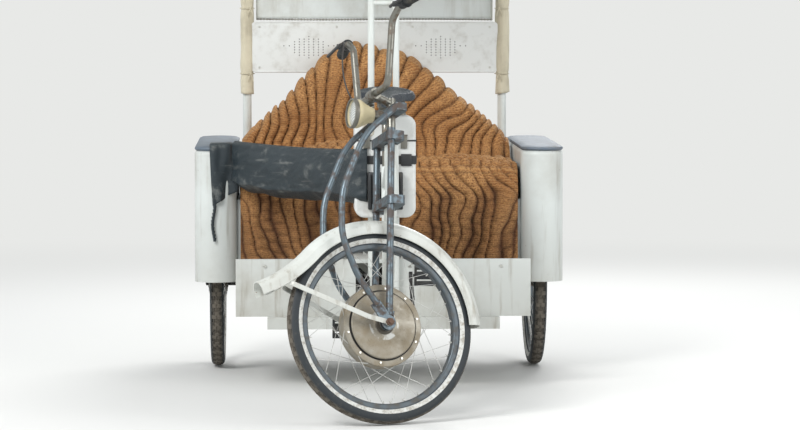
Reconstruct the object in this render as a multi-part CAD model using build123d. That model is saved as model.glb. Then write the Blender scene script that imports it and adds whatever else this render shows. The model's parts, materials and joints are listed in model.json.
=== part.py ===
from build123d import *
import math
import os

# Cycle rickshaw: a pedal tricycle with a passenger bench over the rear axle, a canopy on posts and a
# hub motor in the steered front wheel. Millimetres, +Z up, forward is -Y, +X is the rider's left.
# Sizes are laid out from the rear axle (Y = 0) and the ground (Z = 0). The export moves every piece
# by the same step along Y, so that the origin is the middle of the footprint, on the ground.

os.makedirs("parts", exist_ok=True)

BASE = (Align.CENTER, Align.CENTER, Align.MIN)

# Driving dimensions: running gear
WHEELBASE = 1750.0
BODY_W = 1300.0
SHELL_W = 150.0
WHEEL_R = 305.0
TYRE_W = 50.0
TYRE_DEPTH = 47.0
RIM_DEPTH = 17.0
RIM_W = 30.0
SPOKE_COUNT = 36
SPOKE_R = 1.0
AXLE_R = 7.0
RUN_GAP = 0.3
TYRE_FACETS = 12
CABLE_R = 2.5

# Driving dimensions: steering head
LEAN = 17.0
RAKE = 45.0
REST_TURN = -70.0
LEG_X = 60.0
LEG_R = 11.0
LEG_OFFSET = 24.0
CROWN_DEPTH = 58.0
LOWER_CROWN_S = 392.0
UPPER_CROWN_S = 599.0
CROWN_H = 28.0
STEERER_R = 14.0
STEM_TOP_S = 735.0
STAY_X = 81.0
STAY_R = 10.0
STAY_TOP_S = 688.0
BAR_R = 11.1
BAR_S = 742.0
BAR_F = 60.0
BAR_HALF_W = 372.0
BAR_RISE = 235.0
LAMP_S = 676.0
LAMP_REAR_F = 62.0

# Driving dimensions: front mudguard
GUARD_GAP = 28.0
GUARD_W = 68.0
GUARD_WALL = 3.0
GUARD_SKIRT = 22.0
GUARD_FRONT = 42.0
GUARD_REAR = 176.0
GUARD_CROWN = 36.0
FLARE_R = 450.0
FLARE_ANGLE = 25.0

# Driving dimensions: hub motor
MOTOR_FLANGE_R = 129.0
MOTOR_COVER_R = 107.0
MOTOR_FLANGE_X = 21.0
MOTOR_COVER_X = 34.0
MOTOR_BOSS_R = 31.0
MOTOR_BOSS_X = 48.0
DROPOUT_X = 57.0
DROPOUT_T = 6.0
NUT_R = 12.5
NUT_T = 11.0

# Driving dimensions: frame and drive
TUBE_R = 20.0
HEAD_TUBE_R = 22.0
CRANK_Y = -1180.0
CRANK_Z = 330.0
CRANK_L = 170.0
CRANK_ANGLE = 115.0
CHAINRING_R = 70.0
SPROCKET_R = 40.0
CHAIN_X = -62.0
CHAIN_H = 8.0
CHAIN_W = 7.0
ARM_X = 82.0
ARM_T = 12.0
PEDAL_X = 138.0
PEDAL_HALF_W = 44.0
RAIL_X = 380.0
RAIL_W = 26.0
RAIL_H = 40.0
RAIL_TOP = 245.0
RAIL_FRONT = -820.0
RAIL_REAR = 330.0
HOUSING_R = 22.0
STUB_R = 8.0
HUB_HALF_W = 36.0
HUB_FLANGE_R = 34.0
HUB_FLANGE_X = 30.0
SEAT_LEAN = 0.33
SEAT_TUBE_TOP = 760.0
SEAT_TUBE_R = 16.0
SEAT_POST_R = 12.5
DOWN_TUBE_S = 487.0
TOP_TUBE_S = 552.0

# Driving dimensions: passenger body
FLOOR_FRONT = -780.0
SEAT_FRONT = -330.0
SEAT_REAR = 230.0
SEAT_DECK = 620.0
BOARD_T = 12.0
TUNNEL_TOP = 432.0
TUNNEL_RIGHT = -100.0
TUNNEL_LEFT = 32.0
KICK_TOP = 440.0
SHELL_BOTTOM = 332.0
SHELL_FRONT = -400.0
SHELL_REAR = 400.0
SHELL_TOP_FRONT = 795.0
SHELL_TOP_REAR = 812.0
SHELL_WALL = 6.0
CUSHION_H = 110.0
BACK_Y = 155.0
BACK_T = 15.0
BACK_TOP = 1130.0
BACK_CUSHION_T = 80.0
BACK_SHOULDER = 800.0
BACK_CROWN_R = 270.0
THROW_T = 26.0
THROW_HEM = 315.0
APRON_TOP = 835.0
APRON_H = 190.0
APRON_T = 5.0

# Driving dimensions: canopy and rider's seat
POST_X = 470.0
POST_Y = 190.0
POST_R = 16.0
TWIN_X = 42.0
TWIN_Y = -800.0
TWIN_R = 11.0
TWIN_BAR_Z = 1305.0
ROOF_EDGE = 1850.0
ROOF_RISE = 90.0
ROOF_BAR_R = 12.0
ROOF_RAIL_R = 13.5
ROOF_RAIL_DROP = 2.0
ROOF_FRONT = -800.0
COVER_T = 5.0
COVER_DROP = 110.0
REAR_BOARD_BOTTOM = 1065.0
REAR_BOARD_TOP = 1250.0
SADDLE_Z = 1015.0
SADDLE_Y = -985.0
SADDLE_H = 44.0
CASE_BOTTOM = 590.0
CASE_TOP = 930.0
CASE_HALF_W = 102.0

# Worked-out places
RIM_SEAT_R = WHEEL_R - TYRE_DEPTH
GUARD_CROWN_R = WHEEL_R + GUARD_GAP + GUARD_WALL
STAY_TAB_X = LEG_X + LEG_R + 0.5
STAY_TAB_T = 5.0
TYRE_TUBE_R = TYRE_W / 2
REAR_WHEEL_X = BODY_W / 2 - SHELL_W / 2
SHELL_IN_X = BODY_W / 2 - SHELL_W
CASE_Y = (-965.0, TWIN_Y - TWIN_R)
lean = math.radians(LEAN)
turn = math.radians(REST_TURN)
axle_tilt = math.cos(math.asin(math.sin(lean) * abs(math.sin(turn))))
HUB_Z = (WHEEL_R - TYRE_TUBE_R) * axle_tilt + TYRE_TUBE_R
STEER_Z = HUB_Z - RAKE * math.cos(turn) * math.sin(lean)
STEER_Y = -WHEELBASE + RAKE * math.cos(lean)
# Steering frame: x to the rider's left, -y forward, z up along the steering axis, wheel straight.
STRAIGHT = Pos(0, STEER_Y, STEER_Z) * Rot(-LEAN, 0, 0)
STEERED = STRAIGHT * Rot(0, 0, REST_TURN)


def rod(start, end, radius):
    """A round bar from one point to another."""
    line = Vector(*end) - Vector(*start)
    return Plane(origin=start, z_dir=line) * Cylinder(radius, line.length, align=BASE)


def cross_rod(x_from, x_to, y, z, radius):
    """A round bar along X."""
    return rod((x_from, y, z), (x_to, y, z), radius)


def bent_tube(points, radii, radius):
    """A round tube along straight runs joined by tangent arcs."""
    path = FilletPolyline(*points, radius=radii)
    return sweep((path ^ 0) * Circle(radius), path=path)


def block(x, y, z):
    """A box given by its three (low, high) pairs."""
    size = [high - low for low, high in (x, y, z)]
    middle = [(high + low) / 2 for low, high in (x, y, z)]
    return Pos(*middle) * Box(*size)


def flat_bar(start, end, width, thickness):
    """A flat bar between two points, its thickness mostly along X."""
    line = Vector(*end) - Vector(*start)
    across = Vector(1, 0, 0) - line.normalized() * Vector(1, 0, 0).dot(line.normalized())
    return Plane(origin=start, x_dir=across, z_dir=line) * Box(thickness, width, line.length, align=BASE)


def around_wheel(profile):
    """A profile drawn in XZ, Z being the radius, turned about the wheel's axle."""
    return revolve(Plane.XZ * profile, Axis.X)


# Wheels, each drawn about its own axle along X
def tyre():
    ring_r = WHEEL_R - TYRE_TUBE_R
    section = Pos(0, ring_r) * Rot(0, 0, 90) * RegularPolygon(TYRE_TUBE_R, TYRE_FACETS)
    section += Pos(0, (ring_r + RIM_SEAT_R) / 2) * Rectangle(RIM_W - 4.0, ring_r - RIM_SEAT_R)
    section -= Pos(0, RIM_SEAT_R - TYRE_TUBE_R) * Rectangle(2 * TYRE_W, 2 * TYRE_TUBE_R)
    return around_wheel(section)


def spoke_pattern(flange_x, flange_r):
    """Crossed spokes: even ones lean forward, odd ones back, in two planes on each side."""
    lean_angle = 42.0
    head_step = 2.6
    spokes = []
    for number in range(SPOKE_COUNT):
        side = 1 if number % 2 else -1
        forward = 1 if (number // 2) % 2 else -1
        hub_angle = math.radians(360.0 / SPOKE_COUNT * number)
        rim_angle = hub_angle + math.radians(forward * lean_angle)
        head_x = side * (flange_x + forward * head_step)
        tip_r = RIM_SEAT_R - RIM_DEPTH + 3.0
        head = (head_x, flange_r * math.cos(hub_angle), flange_r * math.sin(hub_angle))
        tip = (side * 4.0, tip_r * math.cos(rim_angle), tip_r * math.sin(rim_angle))
        line = Vector(*tip) - Vector(*head)
        spokes.append(Plane(origin=head, z_dir=line) * extrude(RegularPolygon(SPOKE_R, 5), line.length))
    return spokes


def spoked_rim(flange_x, flange_r):
    section = Pos(0, RIM_SEAT_R - RIM_DEPTH / 2) * Rectangle(RIM_W, RIM_DEPTH)
    section = fillet(section.vertices().group_by(Axis.Y)[0], 7.0)
    wheel = around_wheel(section) + spoke_pattern(flange_x, flange_r - 1.0)
    return wheel - cross_rod(-TYRE_W, TYRE_W, 0, 0, flange_r)


def rear_hub():
    hub = cross_rod(-HUB_HALF_W, HUB_HALF_W, 0, 0, 20.0)
    for side in (-1, 1):
        hub += cross_rod(side * (HUB_FLANGE_X - 4.0), side * (HUB_FLANGE_X + 4.0), 0, 0, HUB_FLANGE_R)
    return hub - cross_rod(-HUB_HALF_W, HUB_HALF_W, 0, 0, STUB_R + RUN_GAP)


def hub_motor():
    motor = cross_rod(-MOTOR_FLANGE_X - 3, MOTOR_FLANGE_X + 3, 0, 0, MOTOR_FLANGE_R)
    for side in (-1, 1):
        motor += cross_rod(0, side * MOTOR_COVER_X, 0, 0, MOTOR_COVER_R)
        motor += cross_rod(0, side * MOTOR_BOSS_X, 0, 0, MOTOR_BOSS_R)
    return motor - cross_rod(-MOTOR_BOSS_X, MOTOR_BOSS_X, 0, 0, AXLE_R + RUN_GAP)


# Steering pieces, drawn in the steering frame
HUB_LOCAL = Pos(0, -RAKE, 0)


def dropout_plate(x_from, x_to, top):
    """A plate round the axle that reaches up to a tube's end."""
    eye = cross_rod(x_from, x_to, -RAKE, 0, 23.0)
    middle = (x_from + x_to) / 2
    plate = flat_bar((middle, -RAKE, 0), (middle, top[0], top[1]), 34.0, abs(x_to - x_from))
    return eye + plate - cross_rod(x_from, x_to, -RAKE, 0, AXLE_R)


def fork():
    body = rod((0, 0, LOWER_CROWN_S), (0, 0, UPPER_CROWN_S + 41.0), STEERER_R)
    for height in (LOWER_CROWN_S, UPPER_CROWN_S):
        crown = Pos(0, -LEG_OFFSET / 2, height) * Box(2 * LEG_X + 36.0, CROWN_DEPTH, CROWN_H)
        body += fillet(crown.edges().filter_by(Axis.Z), 16.0)
    foot_y = -RAKE + 8.0
    foot_s = 26.0
    for side in (-1, 1):
        body += rod((side * LEG_X, -LEG_OFFSET, UPPER_CROWN_S), (side * LEG_X, foot_y, foot_s), LEG_R)
        body += dropout_plate(side * DROPOUT_X, side * (DROPOUT_X + DROPOUT_T), (foot_y, foot_s + 16.0))
    return body


# Bowed stays, from the top bracket forward of the wheel's crown and back to the axle: (forward, up)
STAY_POINTS = [(14.0, 688.0), (122.0, 590.0), (198.0, 400.0), (200.0, 262.0), (150.0, 140.0), (84.0, 52.0)]
STAY_RADII = [260.0, 260.0, 200.0, 200.0]


def truss_stays():
    bracket = Pos(0, 0, STAY_TOP_S) * Box(2 * STAY_X + 22.0, 40.0, 24.0)
    bracket = fillet(bracket.edges().filter_by(Axis.Z), 12.0)
    body = bracket - rod((0, 0, STAY_TOP_S - 20), (0, 0, STAY_TOP_S + 20), STEERER_R + 0.1)
    end = STAY_POINTS[-1]
    for side in (-1, 1):
        points = [(side * STAY_X, -forward, up) for forward, up in STAY_POINTS]
        body += bent_tube(points, STAY_RADII, STAY_R)
        tab_out = STAY_TAB_X + STAY_TAB_T
        body += dropout_plate(side * STAY_TAB_X, side * tab_out, (-end[0] - 6.0, end[1] + 8.0))
    return body


def front_axle():
    nut_x = STAY_TAB_X + STAY_TAB_T + 3.2
    body = cross_rod(-nut_x - 18.0, nut_x + 18.0, -RAKE, 0, AXLE_R - 0.1)
    nut = extrude(Plane.YZ * Pos(-RAKE, 0) * RegularPolygon(NUT_R, 6), NUT_T)
    for side in (-1, 1):
        body += cross_rod(side * (MOTOR_BOSS_X + 1.0), side * DROPOUT_X, -RAKE, 0, 13.0)
        body += cross_rod(side * (DROPOUT_X + DROPOUT_T), side * STAY_TAB_X, -RAKE, 0, 13.0)
        body += Pos(nut_x if side > 0 else -nut_x - NUT_T, 0, 0) * nut
    return body


BAR_POINTS = [
    (BAR_HALF_W, 40.0 - BAR_F, BAR_S + BAR_RISE + 8.0),
    (222.0, 4.0 - BAR_F, BAR_S + BAR_RISE - 4.0),
    (166.0, 0.0 - BAR_F, BAR_S + BAR_RISE - 38.0),
    (126.0, 0.0 - BAR_F, BAR_S),
]
BAR_RADII = [34.0, 40.0, 36.0]


def handlebar():
    body = rod((0, 0, UPPER_CROWN_S + 41.0), (0, 0, STEM_TOP_S), STEERER_R)
    body += rod((0, 0, STEM_TOP_S - 16.0), (0, -BAR_F, BAR_S), 13.0)
    body += cross_rod(-24.0, 24.0, -BAR_F, BAR_S, 18.0)
    mirrored = [(-x, y, s) for x, y, s in reversed(BAR_POINTS)]
    return body + bent_tube(BAR_POINTS + mirrored, BAR_RADII + BAR_RADII[::-1], BAR_R)


def along_bar(from_end, side):
    """A point on the bar's grip run, measured in from its end."""
    end = Vector(*BAR_POINTS[0])
    inward = (Vector(*BAR_POINTS[1]) - end).normalized()
    point = end + inward * from_end
    return (side * point.X, point.Y, point.Z)


def handgrips():
    grips = []
    for side in (-1, 1):
        grip = rod(along_bar(-4.0, side), along_bar(122.0, side), 16.5)
        grips.append(grip - rod(along_bar(0.0, side), along_bar(140.0, side), BAR_R + 0.05))
    return grips


def cable_stop(side):
    """The inner end of the lever's barrel, where the cable comes out."""
    inner = along_bar(136.0, side)
    return (inner[0] - side * 26.0, inner[1] - 34.0, inner[2] - 8.0)


def brake_levers():
    levers = []
    for side in (-1, 1):
        clamp = rod(along_bar(126.0, side), along_bar(146.0, side), 18.0)
        inner = Vector(*along_bar(136.0, side))
        tip = Vector(*along_bar(20.0, side)) + Vector(0, -52.0, -16.0)
        knuckle = inner + Vector(0, -34.0, -8.0)
        lever = clamp + rod(tuple(inner), tuple(knuckle), 9.0)
        lever += rod(tuple(knuckle), tuple(tip), 5.0)
        lever += rod(tuple(knuckle), cable_stop(side), 5.0)
        levers.append(lever - rod(along_bar(120.0, side), along_bar(152.0, side), BAR_R + 0.05))
    return levers


def right_brake_cable():
    """A loop of cable from the right lever's barrel to the front face of the stays' bracket."""
    start = cable_stop(-1)
    stop = (-60.0, -20.0, STAY_TOP_S)
    points = [start, (-160.0, -92.0, 966.0), (-118.0, -112.0, 930.0), (-92.0, -128.0, 876.0),
              (-76.0, -130.0, 816.0), (-66.0, -118.0, 758.0), (-61.0, -88.0, 712.0), (-60.0, -50.0, STAY_TOP_S), stop]
    radii = []
    for before, corner, after in zip(points, points[1:], points[2:]):
        first = Vector(*corner) - Vector(*before)
        second = Vector(*after) - Vector(*corner)
        half_turn = math.radians(first.get_angle(second)) / 2
        radii.append(0.45 * min(first.length, second.length) / math.tan(half_turn))
    print("cable radii", [round(radius) for radius in radii])
    return bent_tube(points, radii, CABLE_R)


def headlamp():
    """A cone-shaped lamp on a tongue from the stays' bracket."""
    profile = Polyline((0, 0), (24, 0), (46, 46), (46, 70), (38, 76), (0, 76), close=True)
    lamp = revolve(Plane.XY * make_face(profile), Axis.Y)
    body = Pos(0, -LAMP_REAR_F, LAMP_S) * Rot(180, 0, 0) * lamp
    return body + block((-12, 12), (-LAMP_REAR_F - 4.0, -20.0), (LAMP_S - 2.0, LAMP_S + 4.0))


def guard_section():
    """The mudguard's arch with straight skirts, Z being the distance from the axle."""
    half = GUARD_W / 2
    middle = GUARD_CROWN_R - GUARD_CROWN
    hem = middle + math.sqrt(GUARD_CROWN ** 2 - half ** 2) - GUARD_SKIRT

    def arch(radius, side, bottom):
        rise = math.sqrt(radius ** 2 - side ** 2)
        ends = [(-side, bottom), (-side, middle + rise), (side, middle + rise), (side, bottom)]
        over = ThreePointArc(ends[1], (0, middle + radius), ends[2])
        return make_face([Line(ends[0], ends[1]), over, Line(ends[2], ends[3]), Line(ends[3], ends[0])])

    return arch(GUARD_CROWN, half, hem) - arch(GUARD_CROWN - GUARD_WALL, half - GUARD_WALL, hem - 1.0)


def front_mudguard():
    """Rear end, over the tyre and down the front, where the end kicks out, with its flat stays."""
    face = Plane.XZ * guard_section()
    guard = revolve(Rot(90.0 - GUARD_REAR, 0, 0) * face, Axis.X, GUARD_REAR - GUARD_FRONT)
    angle = math.radians(GUARD_FRONT)
    flare_centre_r = GUARD_CROWN_R + FLARE_R
    centre = (0, -flare_centre_r * math.cos(angle), flare_centre_r * math.sin(angle))
    guard += revolve(Rot(90.0 - GUARD_FRONT, 0, 0) * face, Axis(centre, (-1, 0, 0)), FLARE_ANGLE)
    guard = HUB_LOCAL * guard
    crown_under = LOWER_CROWN_S - CROWN_H / 2
    guard += block((-14, 14), (-22, 2), (GUARD_CROWN_R - GUARD_WALL / 2, crown_under))
    strip_w = 15.0
    strip_t = 3.0
    fixing_r = GUARD_CROWN_R - 12.0
    fixing = math.radians(20.0)
    for side in (-1, 1):
        eye_x = side * (STAY_TAB_X + STAY_TAB_T + strip_t / 2)
        axle = (eye_x, -RAKE, 0)
        elbow = (eye_x, -RAKE - 70.0, 14.0)
        skirt = (side * (GUARD_W / 2 + 1.0), -RAKE - fixing_r * math.cos(fixing), fixing_r * math.sin(fixing))
        guard += flat_bar(axle, elbow, strip_w, strip_t) + flat_bar(elbow, skirt, strip_w, strip_t)
        guard += cross_rod(eye_x - strip_t / 2, eye_x + strip_t / 2, -RAKE, 0, 12.0)
        guard -= cross_rod(eye_x - strip_t, eye_x + strip_t, -RAKE, 0, AXLE_R)
    return guard


PARTS = {}


def add(name, shape, place=Pos(0, 0, 0)):
    """Keep a sub-part under its node name, placed in the vehicle."""
    solids = shape if isinstance(shape, list) else [shape]
    placed = []
    for solid in solids:
        placed.extend((place * solid).solids())
    PARTS[name] = placed[0] if len(placed) == 1 else Compound(children=placed)


def on_axis(distance):
    """A point on the steering axis, by its distance above the wheel's axle."""
    return (0, STEER_Y + distance * math.sin(lean), STEER_Z + distance * math.cos(lean))


def on_seat_line(z):
    """A point on the seat tube's line."""
    return (0, CRANK_Y + SEAT_LEAN * (z - CRANK_Z), z)


def front_frame():
    head_from = LOWER_CROWN_S + CROWN_H / 2 + 3.0
    head_to = UPPER_CROWN_S - CROWN_H / 2 - 3.0
    crank = (0, CRANK_Y, CRANK_Z)
    beam_z = RAIL_TOP - TUBE_R
    body = rod(on_axis(head_from), on_axis(head_to), HEAD_TUBE_R)
    body += rod(on_axis(DOWN_TUBE_S), crank, TUBE_R)
    body += rod(on_axis(TOP_TUBE_S), on_seat_line(SEAT_TUBE_TOP - 60.0), SEAT_TUBE_R)
    body += rod(crank, on_seat_line(SEAT_TUBE_TOP), SEAT_TUBE_R)
    body += rod((0, CRANK_Y - 24.0, beam_z), (0, RAIL_FRONT, beam_z), TUBE_R)
    body += rod(crank, (0, CRANK_Y, beam_z), SEAT_TUBE_R)
    body += cross_rod(-34.0, 34.0, CRANK_Y, CRANK_Z, 21.0)
    body -= rod(on_axis(head_from - 20.0), on_axis(head_to + 20.0), STEERER_R + RUN_GAP)
    body -= rod(on_seat_line(SEAT_TUBE_TOP - 80.0), on_seat_line(SEAT_TUBE_TOP + 20.0), SEAT_POST_R + 0.05)
    return body - cross_rod(-40.0, 40.0, CRANK_Y, CRANK_Z, STUB_R + RUN_GAP)


def chassis_frame():
    z = (RAIL_TOP - RAIL_H, RAIL_TOP)
    body = block((-RAIL_X, RAIL_X), (RAIL_FRONT, RAIL_FRONT + RAIL_H), z)
    for y in (SEAT_FRONT, RAIL_REAR - RAIL_H):
        body += block((-RAIL_X, RAIL_X), (y, y + RAIL_H), z)
    for side in (-1, 1):
        x = side * RAIL_X
        body += block((x - RAIL_W / 2, x + RAIL_W / 2), (RAIL_FRONT, RAIL_REAR), z)
    return body


def rear_axle():
    body = cross_rod(-SHELL_IN_X, SHELL_IN_X, 0, WHEEL_R, HOUSING_R)
    body += cross_rod(-30.0, 90.0, 0, WHEEL_R, 52.0)
    body += cross_rod(CHAIN_X - 2.0, CHAIN_X + 2.0, 0, WHEEL_R, SPROCKET_R)
    for side in (-1, 1):
        x = side * RAIL_X
        body += block((x - 16, x + 16), (-HOUSING_R, HOUSING_R), (RAIL_TOP, WHEEL_R))
        inner = side * (REAR_WHEEL_X - HUB_HALF_W - 0.5)
        outer = side * (REAR_WHEEL_X + HUB_HALF_W + 0.5)
        body += cross_rod(0, side * (REAR_WHEEL_X + HUB_HALF_W + 10.0), 0, WHEEL_R, STUB_R)
        body += cross_rod(0, inner, 0, WHEEL_R, 13.0)
        body += cross_rod(outer, outer + side * 8.0, 0, WHEEL_R, 13.0)
    return body


def chain():
    """The loop round chainring and sprocket, as wide as its links."""
    def loop(extra):
        ring = Pos(CRANK_Y, CRANK_Z) * CenterArc((0, 0), CHAINRING_R + 0.7 + extra, 0, 360)
        sprocket = Pos(0, WHEEL_R) * CenterArc((0, 0), SPROCKET_R + 0.3 + extra, 0, 360)
        return make_hull([ring.edges()[0], sprocket.edges()[0]])
    links = loop(CHAIN_H) - loop(0.0)
    return Pos(CHAIN_X - CHAIN_W / 2, 0, 0) * extrude(Plane.YZ * links, CHAIN_W)


def crankset():
    inner = ARM_X - ARM_T / 2
    outer = ARM_X + ARM_T / 2
    body = cross_rod(-outer, outer, 0, 0, STUB_R)
    body += cross_rod(CHAIN_X - 2.0, CHAIN_X + 2.0, 0, 0, CHAINRING_R)
    for side in (-1, 1):
        arm = block(sorted((side * inner, side * outer)), (-13, 13), (0, CRANK_L))
        arm += cross_rod(side * inner, side * outer, 0, 0, 17.0)
        arm += cross_rod(side * inner, side * outer, 0, CRANK_L, 13.0)
        arm -= cross_rod(side * inner, side * outer, 0, CRANK_L, 5.0)
        body += Rot(0 if side < 0 else 180, 0, 0) * arm
    return body


def pedals():
    pair = []
    for side in (-1, 1):
        z = CRANK_L if side < 0 else -CRANK_L
        middle = side * PEDAL_X
        half = PEDAL_HALF_W
        pedal = cross_rod(side * (ARM_X - ARM_T / 2), middle, 0, z, 4.9)
        pedal += block((middle - half, middle + half), (-34, 34), (z - 11, z + 11))
        for slot in (-18.0, 18.0):
            pedal -= block((middle - half + 8, middle + half - 8), (slot - 9, slot + 9), (z - 20, z + 20))
        pair.append(pedal)
    return pair


def slab_y(face, y_from, y_to):
    """A face drawn in XZ, thickened from one Y to another."""
    return Pos(0, y_to, 0) * extrude(Plane.XZ * face, y_to - y_from)


def floor_pan():
    x = (-SHELL_IN_X, SHELL_IN_X)
    pan = block(x, (FLOOR_FRONT, SEAT_FRONT), (RAIL_TOP, RAIL_TOP + BOARD_T))
    pan += block(x, (FLOOR_FRONT, FLOOR_FRONT + BOARD_T), (RAIL_TOP, KICK_TOP))
    for side in (-1, 1):
        edge = side * (SHELL_IN_X - BOARD_T / 2)
        pan += block((edge - BOARD_T / 2, edge + BOARD_T / 2), (FLOOR_FRONT, SEAT_FRONT), (RAIL_TOP, 300.0))
    pan += block((TUNNEL_RIGHT, TUNNEL_LEFT), (FLOOR_FRONT, SEAT_FRONT), (RAIL_TOP, TUNNEL_TOP))
    inner_y = (FLOOR_FRONT - 10, SEAT_FRONT + 10)
    return pan - block((TUNNEL_RIGHT + 6, TUNNEL_LEFT - 6), inner_y, (0, TUNNEL_TOP - 6))


def seat_base():
    x = (-SHELL_IN_X, SHELL_IN_X)
    base = block(x, (SEAT_FRONT, SEAT_REAR), (RAIL_TOP, SEAT_DECK))
    base -= block((-SHELL_IN_X + BOARD_T, SHELL_IN_X - BOARD_T), (SEAT_FRONT + BOARD_T, SEAT_REAR - BOARD_T),
                  (0, SEAT_DECK - BOARD_T))
    slot = HOUSING_R + 8.0
    base -= block((-SHELL_IN_X - 10, SHELL_IN_X + 10), (-slot, slot), (0, WHEEL_R + slot))
    return base - block((TUNNEL_RIGHT + 6, TUNNEL_LEFT - 6), (SEAT_FRONT - 10, SEAT_FRONT + 20), (0, TUNNEL_TOP - 6))


def side_shell(side):
    """A wheel housing, open below, with round ends and a top that rises to the rear."""
    length = SHELL_REAR - SHELL_FRONT
    middle = Pos(0, (SHELL_REAR + SHELL_FRONT) / 2)
    side_view = [(SHELL_FRONT, SHELL_BOTTOM), (SHELL_FRONT, SHELL_TOP_FRONT), (SHELL_REAR, SHELL_TOP_REAR),
                 (SHELL_REAR, SHELL_BOTTOM)]
    plan = middle * Rot(0, 0, 90) * SlotOverall(length, SHELL_W)
    inner_plan = middle * Rot(0, 0, 90) * SlotOverall(length - 2 * SHELL_WALL, SHELL_W - 2 * SHELL_WALL)
    view = make_face(Plane.YZ * Polyline(*side_view, close=True))
    prism = extrude(view, SHELL_W, both=True)
    shell = extrude(plan, SHELL_TOP_REAR + 100.0) & prism
    shell = fillet(shell.edges().group_by(Axis.Z)[-1], 16.0)
    shell -= extrude(inner_plan, SHELL_TOP_REAR + 100.0) & (Pos(0, 0, -SHELL_WALL) * prism)
    return Pos(side * REAR_WHEEL_X, 0, 0) * shell


def back_outline(inset, bottom):
    """The back rest's outline in XZ: a round crown whose sides slope down to square shoulders."""
    half = SHELL_IN_X - 6.0 - inset
    shoulder = BACK_SHOULDER - inset
    crown_r = BACK_CROWN_R - inset
    low = Pos(0, (shoulder + bottom) / 2) * Rectangle(2 * half, shoulder - bottom)
    crown = Pos(0, BACK_TOP - BACK_CROWN_R) * Circle(crown_r)
    above = Pos(0, bottom + BACK_TOP / 2) * Rectangle(3 * half, BACK_TOP)
    return make_hull([*low.edges(), *crown.edges()]) & above


def back_panel():
    return slab_y(back_outline(4.0, SEAT_DECK), BACK_Y, BACK_Y + BACK_T)


def seat_cushion():
    half = SHELL_IN_X - 6.0
    cushion = block((-half, half), (SEAT_FRONT, BACK_Y), (SEAT_DECK, SEAT_DECK + CUSHION_H))
    front = cushion.edges().filter_by(Axis.X).group_by(Axis.Y)[0]
    return fillet(front.group_by(Axis.Z)[-1], 45.0)


def back_cushion():
    cushion = slab_y(back_outline(10.0, SEAT_DECK + CUSHION_H), BACK_Y - BACK_CUSHION_T, BACK_Y)
    return cushion


def plush_throw():
    """A thick throw over the back rest and seat that hangs down in front of the bench."""
    gap = 2.0
    half = SHELL_IN_X - 8.0
    seat_top = SEAT_DECK + CUSHION_H + gap
    back_front = BACK_Y - BACK_CUSHION_T - gap
    hang = SEAT_FRONT - gap
    body = block((-half, half), (hang - THROW_T, hang), (THROW_HEM, seat_top + THROW_T))
    body += block((-half, half), (hang - THROW_T, back_front), (seat_top, seat_top + THROW_T))
    body -= seat_cushion_clearance(gap)
    tunnel_x = (TUNNEL_RIGHT - 4.0, TUNNEL_LEFT + 4.0)
    body -= block(tunnel_x, (hang - 2 * THROW_T, hang + THROW_T), (0, TUNNEL_TOP + 4.0))
    front = body.edges().filter_by(Axis.X).group_by(Axis.Y)[0]
    body = fillet(front.group_by(Axis.Z)[-1], 24.0)
    cover = slab_y(back_outline(8.0 - THROW_T, seat_top), back_front - THROW_T, BACK_Y)
    cover &= block((-half, half), (hang, BACK_Y), (seat_top, BACK_TOP + 2 * THROW_T))
    body += cover - slab_y(back_outline(8.0, seat_top - gap), back_front, BACK_Y)
    return body


def seat_cushion_clearance(gap):
    """The seat cushion's own space and a little more in front and above."""
    half = SHELL_IN_X + 10.0
    space = block((-half, half), (SEAT_FRONT - gap, BACK_Y), (0, SEAT_DECK + CUSHION_H + gap))
    front = space.edges().filter_by(Axis.X).group_by(Axis.Y)[0]
    return fillet(front.group_by(Axis.Z)[-1], 45.0)


def apron():
    """A leatherette strip from the right shell's round end to the case under the rider's seat."""
    nose_y = SHELL_FRONT + SHELL_W / 2
    start_angle = math.radians(-62.0)
    start = Vector(-REAR_WHEEL_X, nose_y) + Vector(math.cos(start_angle), math.sin(start_angle)) * (SHELL_W / 2 + 0.3)
    end = Vector(-CASE_HALF_W, CASE_Y[0] + 60.0)
    run = (end - start).normalized()
    out = Vector(run.Y, -run.X)
    corner = end + out * APRON_T + run * (APRON_T * abs(out.X / run.X))
    strip = make_face(Polyline(start, end, corner, start + out * APRON_T, close=True))
    return Pos(0, 0, APRON_TOP - APRON_H) * extrude(strip, APRON_H, dir=(0, 0, 1))


ROOF_BOW_R = (POST_X ** 2 + ROOF_RISE ** 2) / (2 * ROOF_RISE)
ROOF_BOW_Z = ROOF_EDGE + ROOF_RISE - ROOF_BOW_R


def roof_bow(y):
    """A bow from rail to rail, turned about its own centre."""
    half_angle = math.degrees(math.asin(POST_X / ROOF_BOW_R))
    centre = (0, y, ROOF_BOW_Z)
    start = Plane(origin=centre, x_dir=(1, 0, 0), z_dir=(0, -1, 0)).rotated((0, half_angle, 0))
    profile = start * Pos(0, ROOF_BOW_R) * Rot(0, 90, 0) * Circle(ROOF_BAR_R)
    return revolve(profile, Axis(centre, (0, -1, 0)), 2 * half_angle)


def roof_frame():
    rail_z = ROOF_EDGE - ROOF_RAIL_DROP
    body = roof_bow(ROOF_FRONT) + roof_bow((ROOF_FRONT + POST_Y) / 2) + roof_bow(POST_Y)
    for side in (-1, 1):
        x = side * POST_X
        body += rod((x, ROOF_FRONT - ROOF_RAIL_R, rail_z), (x, POST_Y + ROOF_RAIL_R, rail_z), ROOF_RAIL_R)
    return body


def rear_post(side):
    post = rod((side * POST_X, POST_Y, SEAT_DECK), (side * POST_X, POST_Y, ROOF_EDGE - 6.0), POST_R)
    return post - roof_frame()


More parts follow.
